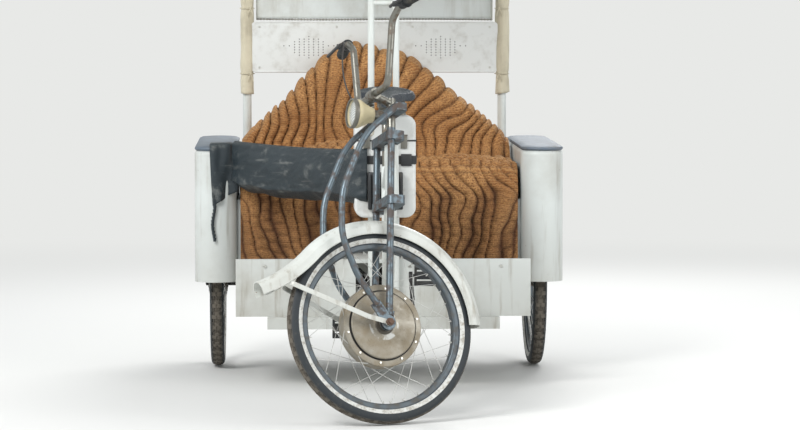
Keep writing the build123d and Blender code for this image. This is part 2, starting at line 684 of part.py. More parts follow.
def twin_posts():
    """Two posts behind the rider that part at the top to carry the front bow."""
    spread = 300.0
    meet_z = ROOF_BOW_Z + math.sqrt((ROOF_BOW_R - 4.0) ** 2 - spread ** 2)
    body = None
    for side in (-1, 1):
        points = [(side * TWIN_X, TWIN_Y, RAIL_TOP), (side * TWIN_X, TWIN_Y, 1420.0),
                  (side * (TWIN_X + 64), TWIN_Y, 1700.0), (side * spread, ROOF_FRONT, meet_z)]
        post = bent_tube(points, [500.0, 160.0], TWIN_R) - roof_bow(ROOF_FRONT)
        body = post if body is None else body + post
    for z in (520.0, TWIN_BAR_Z):
        body += cross_rod(-TWIN_X + 2, TWIN_X - 2, TWIN_Y, z, 8.0)
    return body


def canopy_cover():
    """A cambered cover with hanging edges, open below."""
    inner_r = ROOF_BOW_R + ROOF_BAR_R + 0.3
    half = POST_X + POST_R + COVER_T + 5.0
    hem = ROOF_EDGE - COVER_DROP + 40.0
    top = ROOF_EDGE + ROOF_RISE + 60.0
    sheet = Pos(0, (top + hem) / 2) * Rectangle(2 * half, top - hem)
    outer = (Pos(0, ROOF_BOW_Z) * Circle(inner_r + COVER_T)) & sheet
    room = Pos(0, (top + hem) / 2) * Rectangle(2 * (half - COVER_T), top - hem + 20.0)
    inner = (Pos(0, ROOF_BOW_Z) * Circle(inner_r)) & room
    front = ROOF_FRONT - 30.0
    rear = POST_Y + POST_R + 8.0
    body = slab_y(outer - inner, front, rear)
    return body + slab_y(outer, front, front + COVER_T) + slab_y(outer, rear - COVER_T, rear)


def rear_flap():
    half = POST_X - 32.0
    hem = ROOF_EDGE - COVER_DROP + 40.0
    rear = POST_Y + POST_R + 8.0
    return block((-half, half), (rear - COVER_T + 0.5, rear - 0.5), (REAR_BOARD_TOP + 4.0, hem))


def rear_board():
    """A white tray between the rear posts, its flat face to the front."""
    end = POST_X - POST_R
    y = (POST_Y - 15.0, POST_Y + 15.0)
    tray = block((-end, end), y, (REAR_BOARD_BOTTOM, REAR_BOARD_TOP))
    tray = fillet(tray.edges().filter_by(Axis.Y), 14.0)
    inner = (REAR_BOARD_BOTTOM + 4.0, REAR_BOARD_TOP - 4.0)
    return tray - block((-end + 4.0, end - 4.0), (y[0] + 4.0, y[1] + 10.0), inner)


def rolled_curtains():
    """A curtain rolled round each rear post and let in round the board's ends."""
    roll_r = 30.0
    rolls = []
    for side in (-1, 1):
        bottom = (side * POST_X, POST_Y, 985.0)
        top = (side * POST_X, POST_Y, ROOF_EDGE - COVER_DROP + 38.0)
        roll = rod(bottom, top, roll_r) - rod(bottom, top, POST_R + 0.1)
        end = POST_X - POST_R
        roll -= block((-end - 1, end + 1), (POST_Y - 16, POST_Y + 16), (REAR_BOARD_BOTTOM - 1, REAR_BOARD_TOP + 1))
        rolls.append(roll)
    return rolls


def saddle():
    nose = Pos(0, SADDLE_Y - 138.0) * Circle(21.0)
    outline = [nose.edges()[0]]
    for side in (-1, 1):
        outline.append((Pos(side * 50.0, SADDLE_Y + 70.0) * Circle(56.0)).edges()[0])
    pad = Pos(0, 0, SADDLE_Z - SADDLE_H) * extrude(make_hull(outline), SADDLE_H)
    return fillet(pad.edges().group_by(Axis.Z)[-1], 16.0)


def seat_post():
    top = SADDLE_Z - SADDLE_H
    post = rod(on_seat_line(SEAT_TUBE_TOP - 80.0), on_seat_line(top - 30.0), SEAT_POST_R)
    clamp_y = on_seat_line(top - 30.0)[1]
    post += block((-22, 22), (clamp_y - 18, clamp_y + 18), (top - 40.0, top - 12.0))
    for side in (-1, 1):
        post += block((side * 20 - 5, side * 20 + 5), (SADDLE_Y - 110, SADDLE_Y + 80), (top - 14.0, top))
    return post


def battery_case():
    case = block((-CASE_HALF_W, CASE_HALF_W), CASE_Y, (CASE_BOTTOM, CASE_TOP))
    case = fillet(case.edges().filter_by(Axis.Y), 34.0)
    return fillet(case.edges().group_by(Axis.Y)[0], 10.0)


def tail_lamps():
    lamps = []
    for side in (-1, 1):
        x = side * REAR_WHEEL_X
        lamps.append(rod((x, SHELL_REAR, 560.0), (x, SHELL_REAR + 18.0, 560.0), 32.0))
    return lamps


ROOT_PARTS = [
    ("front_frame", front_frame()),
    ("chassis_frame", chassis_frame()),
    ("rear_axle", rear_axle()),
    ("drive_chain", chain()),
    ("floor_pan", floor_pan()),
    ("seat_base", seat_base()),
    ("right_side_shell", side_shell(-1)),
    ("left_side_shell", side_shell(1)),
    ("back_panel", back_panel()),
    ("seat_cushion", seat_cushion()),
    ("back_cushion", back_cushion()),
    ("plush_throw", plush_throw()),
    ("apron", apron()),
    ("roof_frame", roof_frame()),
    ("right_rear_post", rear_post(-1)),
    ("left_rear_post", rear_post(1)),
    ("twin_posts", twin_posts()),
    ("canopy_cover", canopy_cover()),
    ("rear_flap", rear_flap()),
    ("rear_board", rear_board()),
    ("rolled_curtains", rolled_curtains()),
    ("saddle", saddle()),
    ("seat_post", seat_post()),
    ("battery_case", battery_case()),
    ("tail_lamps", tail_lamps()),
]
for name, shape in ROOT_PARTS:
    add(name, shape)

STEERING_PARTS = [
    ("fork", fork()),
    ("truss_stays", truss_stays()),
    ("front_axle", front_axle()),
    ("handlebar", handlebar()),
    ("handgrips", handgrips()),
    ("brake_levers", brake_levers()),
    ("right_brake_cable", right_brake_cable()),
    ("headlamp", headlamp()),
    ("front_mudguard", front_mudguard()),
]
for name, shape in STEERING_PARTS:
    add(name, shape, STEERED)

FRONT_WHEEL = STEERED * HUB_LOCAL
add("front_tyre", tyre(), FRONT_WHEEL)
add("front_rim", spoked_rim(MOTOR_FLANGE_X, MOTOR_FLANGE_R), FRONT_WHEEL)
add("hub_motor", hub_motor(), FRONT_WHEEL)
for side, word in ((-1, "right"), (1, "left")):
    rear_wheel = Pos(side * REAR_WHEEL_X, 0, WHEEL_R)
    add(f"{word}_rear_tyre", tyre(), rear_wheel)
    add(f"{word}_rear_rim", spoked_rim(HUB_FLANGE_X, HUB_FLANGE_R), rear_wheel)
    add(f"{word}_rear_hub", rear_hub(), rear_wheel)

CRANKED = Pos(0, CRANK_Y, CRANK_Z) * Rot(CRANK_ANGLE, 0, 0)
add("crankset", crankset(), CRANKED)
add("pedals", pedals(), CRANKED)

# The origin goes to the middle of the footprint
whole = Compound(children=[piece.moved(Pos(0, 0, 0)) for piece in PARTS.values()]).bounding_box()
SHIFT_Y = -round((whole.min.Y + whole.max.Y) / 2, 1)
for name, shape in PARTS.items():
    export_step(Pos(0, SHIFT_Y, 0) * shape, f"parts/{name}.step")

steer_point = on_axis(500.0)
hub = FRONT_WHEEL.position
print("box", whole.min, whole.max, "shift", SHIFT_Y)
print("steer point", steer_point[0], steer_point[1] + SHIFT_Y, steer_point[2])
print("front hub", hub.X, hub.Y + SHIFT_Y, hub.Z)
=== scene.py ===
import bmesh
import bpy
import json
import math
from mathutils import Matrix, Vector, noise


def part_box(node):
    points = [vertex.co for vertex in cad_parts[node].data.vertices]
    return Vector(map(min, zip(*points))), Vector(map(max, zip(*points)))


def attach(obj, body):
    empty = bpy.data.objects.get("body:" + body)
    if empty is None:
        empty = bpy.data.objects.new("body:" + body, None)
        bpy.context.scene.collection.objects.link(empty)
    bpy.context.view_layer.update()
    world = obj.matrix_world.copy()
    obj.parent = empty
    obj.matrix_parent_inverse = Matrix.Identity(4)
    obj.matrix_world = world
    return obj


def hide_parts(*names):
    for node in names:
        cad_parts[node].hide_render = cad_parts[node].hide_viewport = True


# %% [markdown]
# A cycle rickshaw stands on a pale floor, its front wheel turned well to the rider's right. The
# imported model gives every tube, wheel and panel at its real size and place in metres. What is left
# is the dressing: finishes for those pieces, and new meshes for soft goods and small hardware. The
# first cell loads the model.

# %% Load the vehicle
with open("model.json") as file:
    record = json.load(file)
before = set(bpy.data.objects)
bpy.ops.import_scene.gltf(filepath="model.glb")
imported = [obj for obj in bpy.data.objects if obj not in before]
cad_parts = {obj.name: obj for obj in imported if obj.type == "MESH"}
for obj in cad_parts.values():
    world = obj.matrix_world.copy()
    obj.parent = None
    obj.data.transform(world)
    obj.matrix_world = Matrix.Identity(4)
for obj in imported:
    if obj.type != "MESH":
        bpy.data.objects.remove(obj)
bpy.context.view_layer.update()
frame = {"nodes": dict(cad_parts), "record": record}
nodes = frame["nodes"]

# %% [markdown]
# The vehicle is seen almost squarely from the front, from just over a metre up and far off, so a
# long lens suits it. The view takes in the wheel on the floor and ends above the handlebar,
# because that is where the most skilled work on this vehicle is.

# %% Camera
VIEW_TARGET = Vector((0.02, -0.996, 0.640))
VIEW_AZIMUTH = math.radians(-2.2)
VIEW_ELEVATION = math.radians(3.1)
VIEW_DISTANCE = 9.4
VIEW_LENS = 137.5
level = math.cos(VIEW_ELEVATION)
towards_camera = Vector((level * math.sin(VIEW_AZIMUTH), -level * math.cos(VIEW_AZIMUTH),
                         math.sin(VIEW_ELEVATION)))
camera_data = bpy.data.cameras.new("camera")
camera_data.lens = VIEW_LENS
camera_data.sensor_width = 36.0
camera = bpy.data.objects.new("camera", camera_data)
bpy.context.scene.collection.objects.link(camera)
camera.location = VIEW_TARGET + VIEW_DISTANCE * towards_camera
camera.rotation_euler = towards_camera.to_track_quat("Z", "Y").to_euler()
bpy.context.scene.camera = camera
print("camera at", [round(v, 2) for v in camera.location])

# %% [markdown]
# Light for a part that has to look right anywhere is plain: one large soft key from the upper
# left, a weaker fill from the right, and an even pale surround. A larger lamp gives softer edges
# to the shadows. The strengths are set so that a colour renders about as it is written.

# %% Light
bpy.context.scene.view_settings.view_transform = "Standard"
LAMP_AIM = Vector((0.0, 0.0, 0.8))


def soft_lamp(name, place, size, power):
    """An area lamp that looks at the middle of the vehicle."""
    data = bpy.data.lights.new(name, "AREA")
    data.energy = power
    data.shape = "DISK"
    data.size = size
    lamp = bpy.data.objects.new(name, data)
    lamp.location = place
    lamp.rotation_euler = (Vector(place) - LAMP_AIM).to_track_quat("Z", "Y").to_euler()
    bpy.context.scene.collection.objects.link(lamp)


soft_lamp("key_lamp", (-3.2, -4.4, 4.6), 2.6, 300.0)
soft_lamp("fill_lamp", (4.2, -3.6, 2.6), 3.2, 100.0)
soft_lamp("back_lamp", (1.5, 5.0, 4.2), 3.0, 190.0)

# %% [markdown]
# Shader maths reads best as plain sums. The Wire class holds one socket of a material, and each
# operator adds a Math node, so that a mask can be written as (height - 0.3) * 4. The Finish class
# holds one material and has a single method for any other node. Settings go in first, then the
# values or wires of the sockets.

# %% Shader helpers
class Wire:
    """A socket of a material, with arithmetic that adds Math nodes."""

    def __init__(self, tree, socket):
        self.tree = tree
        self.socket = socket

    def math(self, operation, *values):
        node = self.tree.nodes.new("ShaderNodeMath")
        node.operation = operation
        for slot, value in zip(node.inputs, (self,) + values):
            plug(self.tree, value, slot)
        return Wire(self.tree, node.outputs[0])

    def __add__(self, other):
        return self.math("ADD", other)

    def __sub__(self, other):
        return self.math("SUBTRACT", other)

    def __rsub__(self, other):
        return self.math("MULTIPLY", -1.0).math("ADD", other)

    def __mul__(self, other):
        return self.math("MULTIPLY", other)

    def step(self, low, high):
        """0 below low, 1 above high, and a smooth rise between them."""
        node = self.tree.nodes.new("ShaderNodeMapRange")
        node.interpolation_type = "SMOOTHSTEP"
        plug(self.tree, self, node.inputs["Value"])
        node.inputs["From Min"].default_value = low
        node.inputs["From Max"].default_value = high
        return Wire(self.tree, node.outputs["Result"])

    def band(self, low, high, soft):
        """1 between low and high, with soft edges."""
        return self.step(low - soft, low) * (1.0 - self.step(high, high + soft))


def plug(tree, value, slot):
    """Link a wire to a socket, or write a plain value there."""
    if isinstance(value, Wire):
        tree.links.new(value.socket, slot)
    elif slot.type == "RGBA" and len(value) == 3:
        slot.default_value = (*value, 1.0)
    else:
        slot.default_value = value


def screen(red, green, blue):
    """A colour as a screen shows it, 0 to 255, as the linear values that shaders use."""
    def linear(channel):
        share = channel / 255.0
        return share / 12.92 if share <= 0.04045 else ((share + 0.055) / 1.055) ** 2.4
    return (linear(red), linear(green), linear(blue))


class Finish:
    """One material: a Principled shader and what feeds it."""

    def __init__(self, name, colour, roughness=0.5, metallic=0.0, **plain):
        self.material = bpy.data.materials.new(name)
        self.material.use_nodes = True
        self.tree = self.material.node_tree
        self.shader = self.tree.nodes["Principled BSDF"]
        self.set("Base Color", colour)
        self.set("Roughness", roughness)
        self.set("Metallic", metallic)
        for socket, value in plain.items():
            self.set(socket.replace("_", " "), value)

    def set(self, socket, value):
        plug(self.tree, value, self.shader.inputs[socket])

    def node(self, kind, settings=None, inputs=None, output=0):
        made = self.tree.nodes.new("ShaderNode" + kind)
        for key, value in (settings or {}).items():
            setattr(made, key, value)
        for key, value in (inputs or {}).items():
            plug(self.tree, value, made.inputs[key])
        return Wire(self.tree, made.outputs[output])

    def place(self):
        """Object coordinates, which are metres in the vehicle's frame."""
        return self.node("TexCoord", output="Object")

    def axis(self, name):
        return self.node("SeparateXYZ", inputs={0: self.place()}, output=name)

    def stretched(self, x, y, z):
        """Object coordinates scaled along each axis."""
        return self.node("Mapping", inputs={"Vector": self.place(), "Scale": (x, y, z)})

    def noise(self, scale, detail=3.0, rough=0.55, where=None):
        inputs = {"Vector": where or self.place(), "Scale": scale, "Detail": detail, "Roughness": rough}
        return self.node("TexNoise", inputs=inputs)

    def cell_borders(self, scale):
        """Distance to the nearest border between cells."""
        inputs = {"Vector": self.place(), "Scale": scale}
        return self.node("TexVoronoi", {"feature": "DISTANCE_TO_EDGE"}, inputs)

    def mix(self, amount, first, second):
        """Colours: first where amount is 0, second where it is 1."""
        return self.node("Mix", {"data_type": "RGBA"}, {"Factor": amount, 6: first, 7: second}, output=2)

    def bump(self, height, distance, strength):
        inputs = {"Height": height, "Distance": distance, "Strength": strength}
        self.set("Normal", self.node("Bump", inputs=inputs, output="Normal"))


def dress(finish, *names):
    """Give CAD nodes this finish."""
    for name in names:
        slots = nodes[name].data.materials
        slots.clear()
        slots.append(finish.material)


print("helpers ready, screen grey 128 is", round(screen(128, 128, 128)[0], 3))

# %% [markdown]
# A plain studio has no visible edges. The floor is one large round sheet, and towards its rim it
# fades into the pale surround, so that no horizon shows from any side. Only the camera and
# reflections see that glow, because a floor that lit the vehicle from below would wash out its
# shadows. Light Path tells which kind of ray is asking.

# %% Floor and surround
PALE = screen(232, 233, 231)
FLOOR_RADIUS = 70.0
GLOW_FROM, GLOW_FULL = 2.4, 8.5
SKY_TINT = (0.93, 0.96, 1.0, 1.0)
SKY_STRENGTH = 0.70
floor_finish = Finish("floor", screen(222, 222, 219), 0.75)
paper = bmesh.new()
bmesh.ops.create_circle(paper, cap_ends=True, segments=96, radius=FLOOR_RADIUS)
floor_mesh = bpy.data.meshes.new("floor")
paper.to_mesh(floor_mesh)
paper.free()
floor = bpy.data.objects.new("floor", floor_mesh)
floor_mesh.materials.append(floor_finish.material)
bpy.context.scene.collection.objects.link(floor)


def looking_rays(tree):
    """1 for rays from the camera and for those that a gloss or glass sends on."""
    path = tree.nodes.new("ShaderNodeLightPath")
    seen_by = [Wire(tree, path.outputs[f"Is {kind} Ray"]) for kind in ("Camera", "Glossy", "Transmission")]
    return seen_by[0].math("MAXIMUM", seen_by[1]).math("MAXIMUM", seen_by[2])


from_middle = floor_finish.node("VectorMath", {"operation": "LENGTH"}, {0: floor_finish.place()},
                                output="Value")
far = from_middle.step(GLOW_FROM, GLOW_FULL) * looking_rays(floor_finish.tree)
glow = floor_finish.node("Emission", inputs={"Color": PALE, "Strength": 1.0})
lit = Wire(floor_finish.tree, floor_finish.shader.outputs[0])
seen = floor_finish.node("MixShader", inputs={0: far, 1: lit, 2: glow})
floor_finish.tree.links.new(seen.socket, floor_finish.tree.nodes["Material Output"].inputs["Surface"])
world = bpy.data.worlds.new("surround")
world.use_nodes = True
sky = world.node_tree
back = sky.nodes["Background"]
back.inputs["Color"].default_value = SKY_TINT
back.inputs["Strength"].default_value = SKY_STRENGTH
pale_back = sky.nodes.new("ShaderNodeBackground")
pale_back.inputs["Color"].default_value = (*PALE, 1.0)
both = sky.nodes.new("ShaderNodeMixShader")
sky.links.new(looking_rays(sky).socket, both.inputs[0])
sky.links.new(back.outputs[0], both.inputs[1])
sky.links.new(pale_back.outputs[0], both.inputs[2])
sky.links.new(both.outputs[0], sky.nodes["World Output"].inputs["Surface"])
bpy.context.scene.world = world
print("floor", FLOOR_RADIUS, "m in radius")

# %% [markdown]
# The paint on this vehicle is a white enamel that has seen years of weather: clouds of grey, streaks
# of dirt, more of it low down, and chips down to rust. One function makes the finish, so that panels
# and tubes share it. Masks from noise choose where each layer shows, and the chips are roughened
# because bare rust does not shine.

# %% White paint
def worn_white(name, colour, dirt, rust, roughness):
    """Enamel with streaks of dirt and a share of rusty chips."""
    paint = Finish(name, colour, roughness, Coat_Roughness=0.3)
    cloudy = paint.noise(3.5, 5.0, 0.6)
    streaks = paint.noise(1.0, 4.0, 0.6, paint.stretched(38.0, 38.0, 2.6))
    specks = paint.noise(160.0, 4.0, 0.7)
    low = 1.0 - paint.axis("Z").step(0.12, 0.75)
    grime = (cloudy.step(0.42, 0.75) * 0.5 + streaks.step(0.52, 0.74) * 0.55) * dirt + low * dirt * 0.45
    soiled = paint.mix(grime.math("MINIMUM", 0.85), colour, screen(134, 124, 106))
    chips = paint.noise(46.0, 6.0, 0.72).step(0.70 - rust, 0.72 - rust)
    spotted = chips * paint.noise(7.0, 2.0).step(0.5, 0.62)
    rusty = paint.mix(specks, screen(84, 52, 34), screen(132, 84, 52))
    paint.set("Base Color", paint.mix(spotted, soiled, rusty))
    paint.set("Roughness", (grime * 0.35 + spotted * 0.4 + roughness).math("MINIMUM", 0.9))
    paint.bump(specks * 0.25 - spotted * 0.8 + cloudy * 0.3, 0.0012, 0.35)
    return paint


tube_paint = worn_white("tube_paint", screen(212, 217, 213), 0.55, 0.035, 0.34)
panel_paint = worn_white("panel_paint", screen(210, 215, 212), 0.75, 0.02, 0.38)
guard_paint = worn_white("guard_paint", screen(208, 212, 207), 0.7, 0.045, 0.32)
dress(tube_paint, "roof_frame", "right_rear_post", "left_rear_post", "twin_posts", "front_frame")
dress(panel_paint, "chassis_frame", "floor_pan", "seat_base", "right_side_shell", "left_side_shell",
      "back_panel")
dress(guard_paint, "front_mudguard")
print("white paint in three strengths")

# %% [markdown]
# Bare steel parts are blue-grey where hands and rain keep them clean and brown where they do not.
# The same recipe with more rust covers the front axle, and with black oil it covers the drive.
# Metallic drops to zero where rust or grease hides the metal.

# %% Steel and aluminium
def bare_metal(name, bright, film, amount, roughness, grain=60.0):
    """Metal with a film of rust, oil or dust over part of it."""
    metal = Finish(name, bright, roughness, 1.0)
    patches = metal.noise(grain, 6.0, 0.65).step(0.62 - amount, 0.78 - amount)
    broad = metal.noise(9.0, 3.0).step(0.3, 0.7)
    covered = (patches * (broad * 0.6 + 0.4)).math("MINIMUM", 1.0)
    darker = tuple(part * 0.55 for part in film)
    varied = metal.mix(metal.noise(240.0, 3.0), film, darker)
    metal.set("Base Color", metal.mix(covered, bright, varied))
    metal.set("Metallic", (1.0 - covered) * 0.9)
    metal.set("Roughness", covered * (0.85 - roughness) + roughness)
    metal.bump(covered * 0.5 + metal.noise(320.0, 2.0) * 0.3, 0.0006, 0.5)
    return metal


stay_steel = bare_metal("stay_steel", screen(98, 109, 116), screen(92, 70, 54), 0.17, 0.42, 34.0)
bar_steel = bare_metal("bar_steel", screen(128, 127, 120), screen(104, 84, 64), 0.12, 0.34, 40.0)
rusty_steel = bare_metal("rusty_steel", screen(126, 112, 100), screen(98, 60, 40), 0.34, 0.5)
oily_steel = bare_metal("oily_steel", screen(92, 92, 92), screen(30, 27, 24), 0.28, 0.4)
hub_metal = bare_metal("hub_metal", screen(150, 150, 148), screen(62, 54, 44), 0.25, 0.45)
dress(stay_steel, "fork", "truss_stays")
dress(bar_steel, "handlebar", "seat_post")
dress(rusty_steel, "front_axle")
dress(oily_steel, "rear_axle", "drive_chain", "crankset")
dress(hub_metal, "right_rear_hub", "left_rear_hub")
print("five metals")

# %% [markdown]
# Plastics and rubber differ mostly in how rough they are. Both get a fine grain and clouds of dust.
# Vinyl has a leather grain, which cell noise draws well: the borders of the cells are the creases.

# %% Plastic, rubber and vinyl
def moulded(name, colour, roughness, dust=0.2, grain=900.0):
    """A moulded plastic or rubber skin with dust."""
    skin = Finish(name, colour, roughness)
    cloud = skin.noise(24.0, 4.0, 0.6).step(0.45, 0.8)
    skin.set("Base Color", skin.mix(cloud * dust, colour, screen(142, 134, 118)))
    skin.set("Roughness", (cloud * 0.25 + roughness).math("MINIMUM", 0.95))
    skin.bump(skin.noise(grain, 2.0), 0.0003, 0.4)
    return skin


def grained(name, colour, roughness, scuff, amount):
    """Vinyl or leatherette: creased cells, pale scuffs and fine cracks."""
    hide = Finish(name, colour, roughness)
    creases = hide.cell_borders(420.0).step(0.0, 0.12)
    rubbed_and_highlight = hide.noise(14.0, 6.0, 0.7).step(0.52, 0.72)
    lines = hide.noise(1.0, 5.0, 0.65, hide.stretched(9.0, 9.0, 60.0)).step(0.58, 0.7)
    worn = (rubbed_and_highlight * 0.7 + lines * 0.5) * amount
    shade = hide.mix(hide.noise(5.0, 3.0), colour, tuple(part * 0.6 for part in colour))
    hide.set("Base Color", hide.mix(worn.math("MINIMUM", 1.0), shade, scuff))
    hide.set("Roughness", (worn * 0.25 + roughness).math("MINIMUM", 0.9))
    hide.bump(creases + rubbed_and_highlight * 0.5, 0.0008, 0.45)
    return hide


black_plastic = moulded("black_plastic", screen(38, 40, 42), 0.45)
grip_rubber = moulded("grip_rubber", screen(34, 38, 40), 0.7, 0.35)
case_plastic = moulded("case_plastic", screen(214, 216, 213), 0.42, 0.4)
lamp_plastic = moulded("lamp_plastic", screen(196, 184, 148), 0.4, 0.3)
red_lens = moulded("red_lens", screen(150, 22, 18), 0.18, 0.15)
green_vinyl = grained("green_vinyl", screen(32, 46, 42), 0.4, screen(84, 92, 86), 0.4)
saddle_vinyl = grained("saddle_vinyl", screen(36, 46, 56), 0.38, screen(104, 112, 116), 0.5)
apron_vinyl = grained("apron_vinyl", screen(40, 52, 58), 0.46, screen(128, 130, 126), 0.85)
dress(black_plastic, "brake_levers", "pedals")
dress(grip_rubber, "handgrips")
dress(case_plastic, "battery_case", "rear_board")
dress(red_lens, "tail_lamps")
print("plastics and vinyls")

# %% [markdown]
# Cloth gets its weave from two crossed waves. They are far finer than any fold, so they only need
# to be a bump. The canopy is coated cloth, greyer where the rain leaves dust.

# %% Woven cloth
def woven(name, colour, dirt, roughness=0.85, pitch=700.0):
    """Plain weave with stains."""
    cloth = Finish(name, colour, roughness, Sheen_Weight=0.15)
    warp = cloth.node("TexWave", {"bands_direction": "X"}, {"Vector": cloth.place(), "Scale": pitch})
    weft = cloth.node("TexWave", {"bands_direction": "Z"}, {"Vector": cloth.place(), "Scale": pitch})
    stains = cloth.noise(6.0, 6.0, 0.65).step(0.4, 0.78)
    runs = cloth.noise(1.0, 5.0, 0.6, cloth.stretched(26.0, 26.0, 3.0)).step(0.5, 0.75)
    cloth.set("Base Color", cloth.mix((stains * 0.6 + runs * 0.5) * dirt, colour, screen(138, 128, 108)))
    cloth.bump(warp * 0.5 + weft * 0.5 + cloth.noise(90.0, 3.0) * 1.6, 0.0008, 0.35)
    return cloth


canopy_cloth = woven("canopy_cloth", screen(210, 214, 211), 0.55)
curtain_cloth = woven("curtain_cloth", screen(206, 198, 174), 0.8)
print("cloths ready")

# %% [markdown]
# New pieces share a few steps. A bmesh is finished by turning its faces outwards, moving it into
# place and shading it smooth with sharp edges kept. A turned part, such as a tyre or a hub, starts
# as a row of points that spins round the axle. Its UV map holds the turn and the distance from the
# axle, because a pattern on a tilted wheel cannot use the vehicle's own axes.

# %% Piece helpers
def finished(made, name, finish, body="frame", stands_for=(), place=Matrix(), sharp=40.0,
             outwards=True):
    """Make a bmesh into a piece that rides on its body."""
    if outwards:
        bmesh.ops.recalc_face_normals(made, faces=made.faces)
    bmesh.ops.transform(made, matrix=place, verts=made.verts)
    mesh = bpy.data.meshes.new(name)
    made.to_mesh(mesh)
    made.free()
    mesh.shade_smooth()
    mesh.set_sharp_from_angle(angle=math.radians(sharp))
    mesh.materials.append(finish.material)
    piece = bpy.data.objects.new(name, mesh)
    bpy.context.scene.collection.objects.link(piece)
    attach(piece, body)
    for node in stands_for:
        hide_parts(node)
    print(name, len(mesh.polygons), "faces")
    return piece


def cloth_grid(columns, rows):
    """A flat grid, -1 to 1 each way, whose points are then moved into a cloth."""
    made = bmesh.new()
    bmesh.ops.create_grid(made, x_segments=columns, y_segments=rows, size=1.0)
    return made


def cloth_piece(made, name, finish, thickness, stands_for=()):
    """Make a grid into a thin cloth on the frame, with its thickness on both sides."""
    cloth = finished(made, name, finish, stands_for=stands_for, sharp=80.0, outwards=False)
    layer = cloth.modifiers.new("thickness", "SOLIDIFY")
    layer.thickness = thickness
    layer.offset = 0.0
    return cloth


def turned(outline, steps, closed=False):
    """Spin a row of (along the axle, radius) points about the X axis."""
    made = bmesh.new()
    row = [made.verts.new((x, 0.0, radius)) for x, radius in outline]
    pairs = list(zip(row, row[1:])) + ([(row[-1], row[0])] if closed else [])
    edges = [made.edges.new(pair) for pair in pairs]
    bmesh.ops.spin(made, geom=row + edges, axis=(1, 0, 0), cent=(0, 0, 0), dvec=(0, 0, 0),
                   angle=2 * math.pi, steps=steps, use_merge=True, use_duplicate=False)
    bmesh.ops.remove_doubles(made, verts=made.verts, dist=1e-5)
    return made


def ring_map(made):
    """UV: the turn about the axle as a share, and the distance from it."""
    layer = made.loops.layers.uv.new("ring")
    for face in made.faces:
        turns = [math.atan2(loop.vert.co.z, loop.vert.co.y) / (2 * math.pi) for loop in face.loops]
        high = max(turns)
        for loop, turn in zip(face.loops, turns):
            share = turn + 1.0 if high - turn > 0.5 else turn
            loop[layer].uv = (share, math.hypot(loop.vert.co.y, loop.vert.co.z))


def lumps(*place):
    """Smooth noise at a place, about -1 to 1 and always the same there."""
    return noise.noise(Vector(place))


def bar_between(made, start, end, radius, sides=8, end_radius=None):
    """Add a closed round bar from one point to another."""
    line = Vector(end) - Vector(start)
    turn = line.to_track_quat("Z", "Y").to_matrix().to_4x4()
    place = Matrix.Translation((Vector(start) + Vector(end)) / 2) @ turn
    bmesh.ops.create_cone(made, cap_ends=True, segments=sides, radius1=radius, matrix=place,
                          depth=line.length, radius2=radius if end_radius is None else end_radius)


# %% [markdown]
# The steering head leans back and is turned, so its pieces are drawn straight and then placed by
# one matrix. The steering axis comes from the joints in the record. Lean, turn and rake repeat the
# CAD's sizes, and the print shows how far that puts the front hub from the record's.

# %% Places from the joints
joints = {joint["name"]: joint for joint in frame["record"]["behaviour"]["joints"]}
LEAN = math.radians(17.0)
REST_TURN = math.radians(-70.0)
RAKE = 0.045
# The joint's place lies this far up the steering axis from where the head's pieces have height 0.
HEAD_UP = 0.5
steer_up = Vector(joints["steering_turn"]["axis"])
head = Vector(joints["steering_turn"]["pos_m"]) - HEAD_UP * steer_up
steered = Matrix.Translation(head) @ Matrix.Rotation(-LEAN, 4, "X") @ Matrix.Rotation(REST_TURN, 4, "Z")
front_wheel = steered @ Matrix.Translation((0.0, -RAKE, 0.0))
rear_wheels = {side: Matrix.Translation(joints[side + "_rear_wheel_spin"]["pos_m"])
               for side in ("right", "left")}
AXLE_Y = joints["left_rear_wheel_spin"]["pos_m"][1]
miss = (front_wheel.translation - Vector(joints["front_wheel_spin"]["pos_m"])).length
print("front hub from the matrix is off by", round(1000 * miss, 2), "mm; rear axle y", round(AXLE_Y, 4))

# %% [markdown]
# The tyres are wide, dusty and knobbed, with a worn white stripe on each sidewall. A spun outline
# makes the casing, and the tread columns between the grooves are inset and lifted one by one, so
# every knob has tapered sides. Staggered steps leave the gaps that give a tread its rhythm.

# %% Tyres
TREAD_STEPS = 132
CASING = [
    (-0.0145, 0.2582), (-0.0185, 0.2600), (-0.0215, 0.2660), (-0.0237, 0.2730), (-0.0246, 0.2810),
    (-0.0240, 0.2870), (-0.0222, 0.2925), (-0.0180, 0.2972), (-0.0160, 0.2985), (-0.0100, 0.3010),
    (-0.0080, 0.3017), (-0.0028, 0.3025), (0.0028, 0.3025), (0.0080, 0.3017), (0.0100, 0.3010),
    (0.0160, 0.2985), (0.0180, 0.2972), (0.0222, 0.2925), (0.0240, 0.2870), (0.0246, 0.2810),
    (0.0237, 0.2730), (0.0215, 0.2660), (0.0185, 0.2600), (0.0145, 0.2582), (0.0, 0.2582),
]
STRIPE_INNER, STRIPE_OUTER = 0.2612, 0.2742
TREAD_INNER = 0.2955
KNOB_DEEP = 0.0021
KNOB_TAPER = 0.0007
rubber = Finish("tyre_rubber", screen(42, 47, 50), 0.72)
around = rubber.node("SeparateXYZ", inputs={0: rubber.node("TexCoord", output="UV")}, output="Y")
grit = rubber.noise(75.0, 5.0, 0.7)
stripe = around.band(STRIPE_INNER, STRIPE_OUTER, 0.0006) * rubber.noise(26.0, 5.0, 0.7).step(0.24, 0.34)
dusty = (around.step(0.294, 0.301) * 0.75 + grit.step(0.5, 0.85) * 0.25).math("MINIMUM", 0.9)
sidewall = rubber.mix(around.step(0.2605, 0.2625), screen(66, 74, 81), screen(36, 42, 46))
tread = rubber.mix(dusty, sidewall, screen(112, 104, 92))
chalk = rubber.mix(grit.step(0.4, 0.7), screen(204, 205, 200), screen(150, 144, 132))
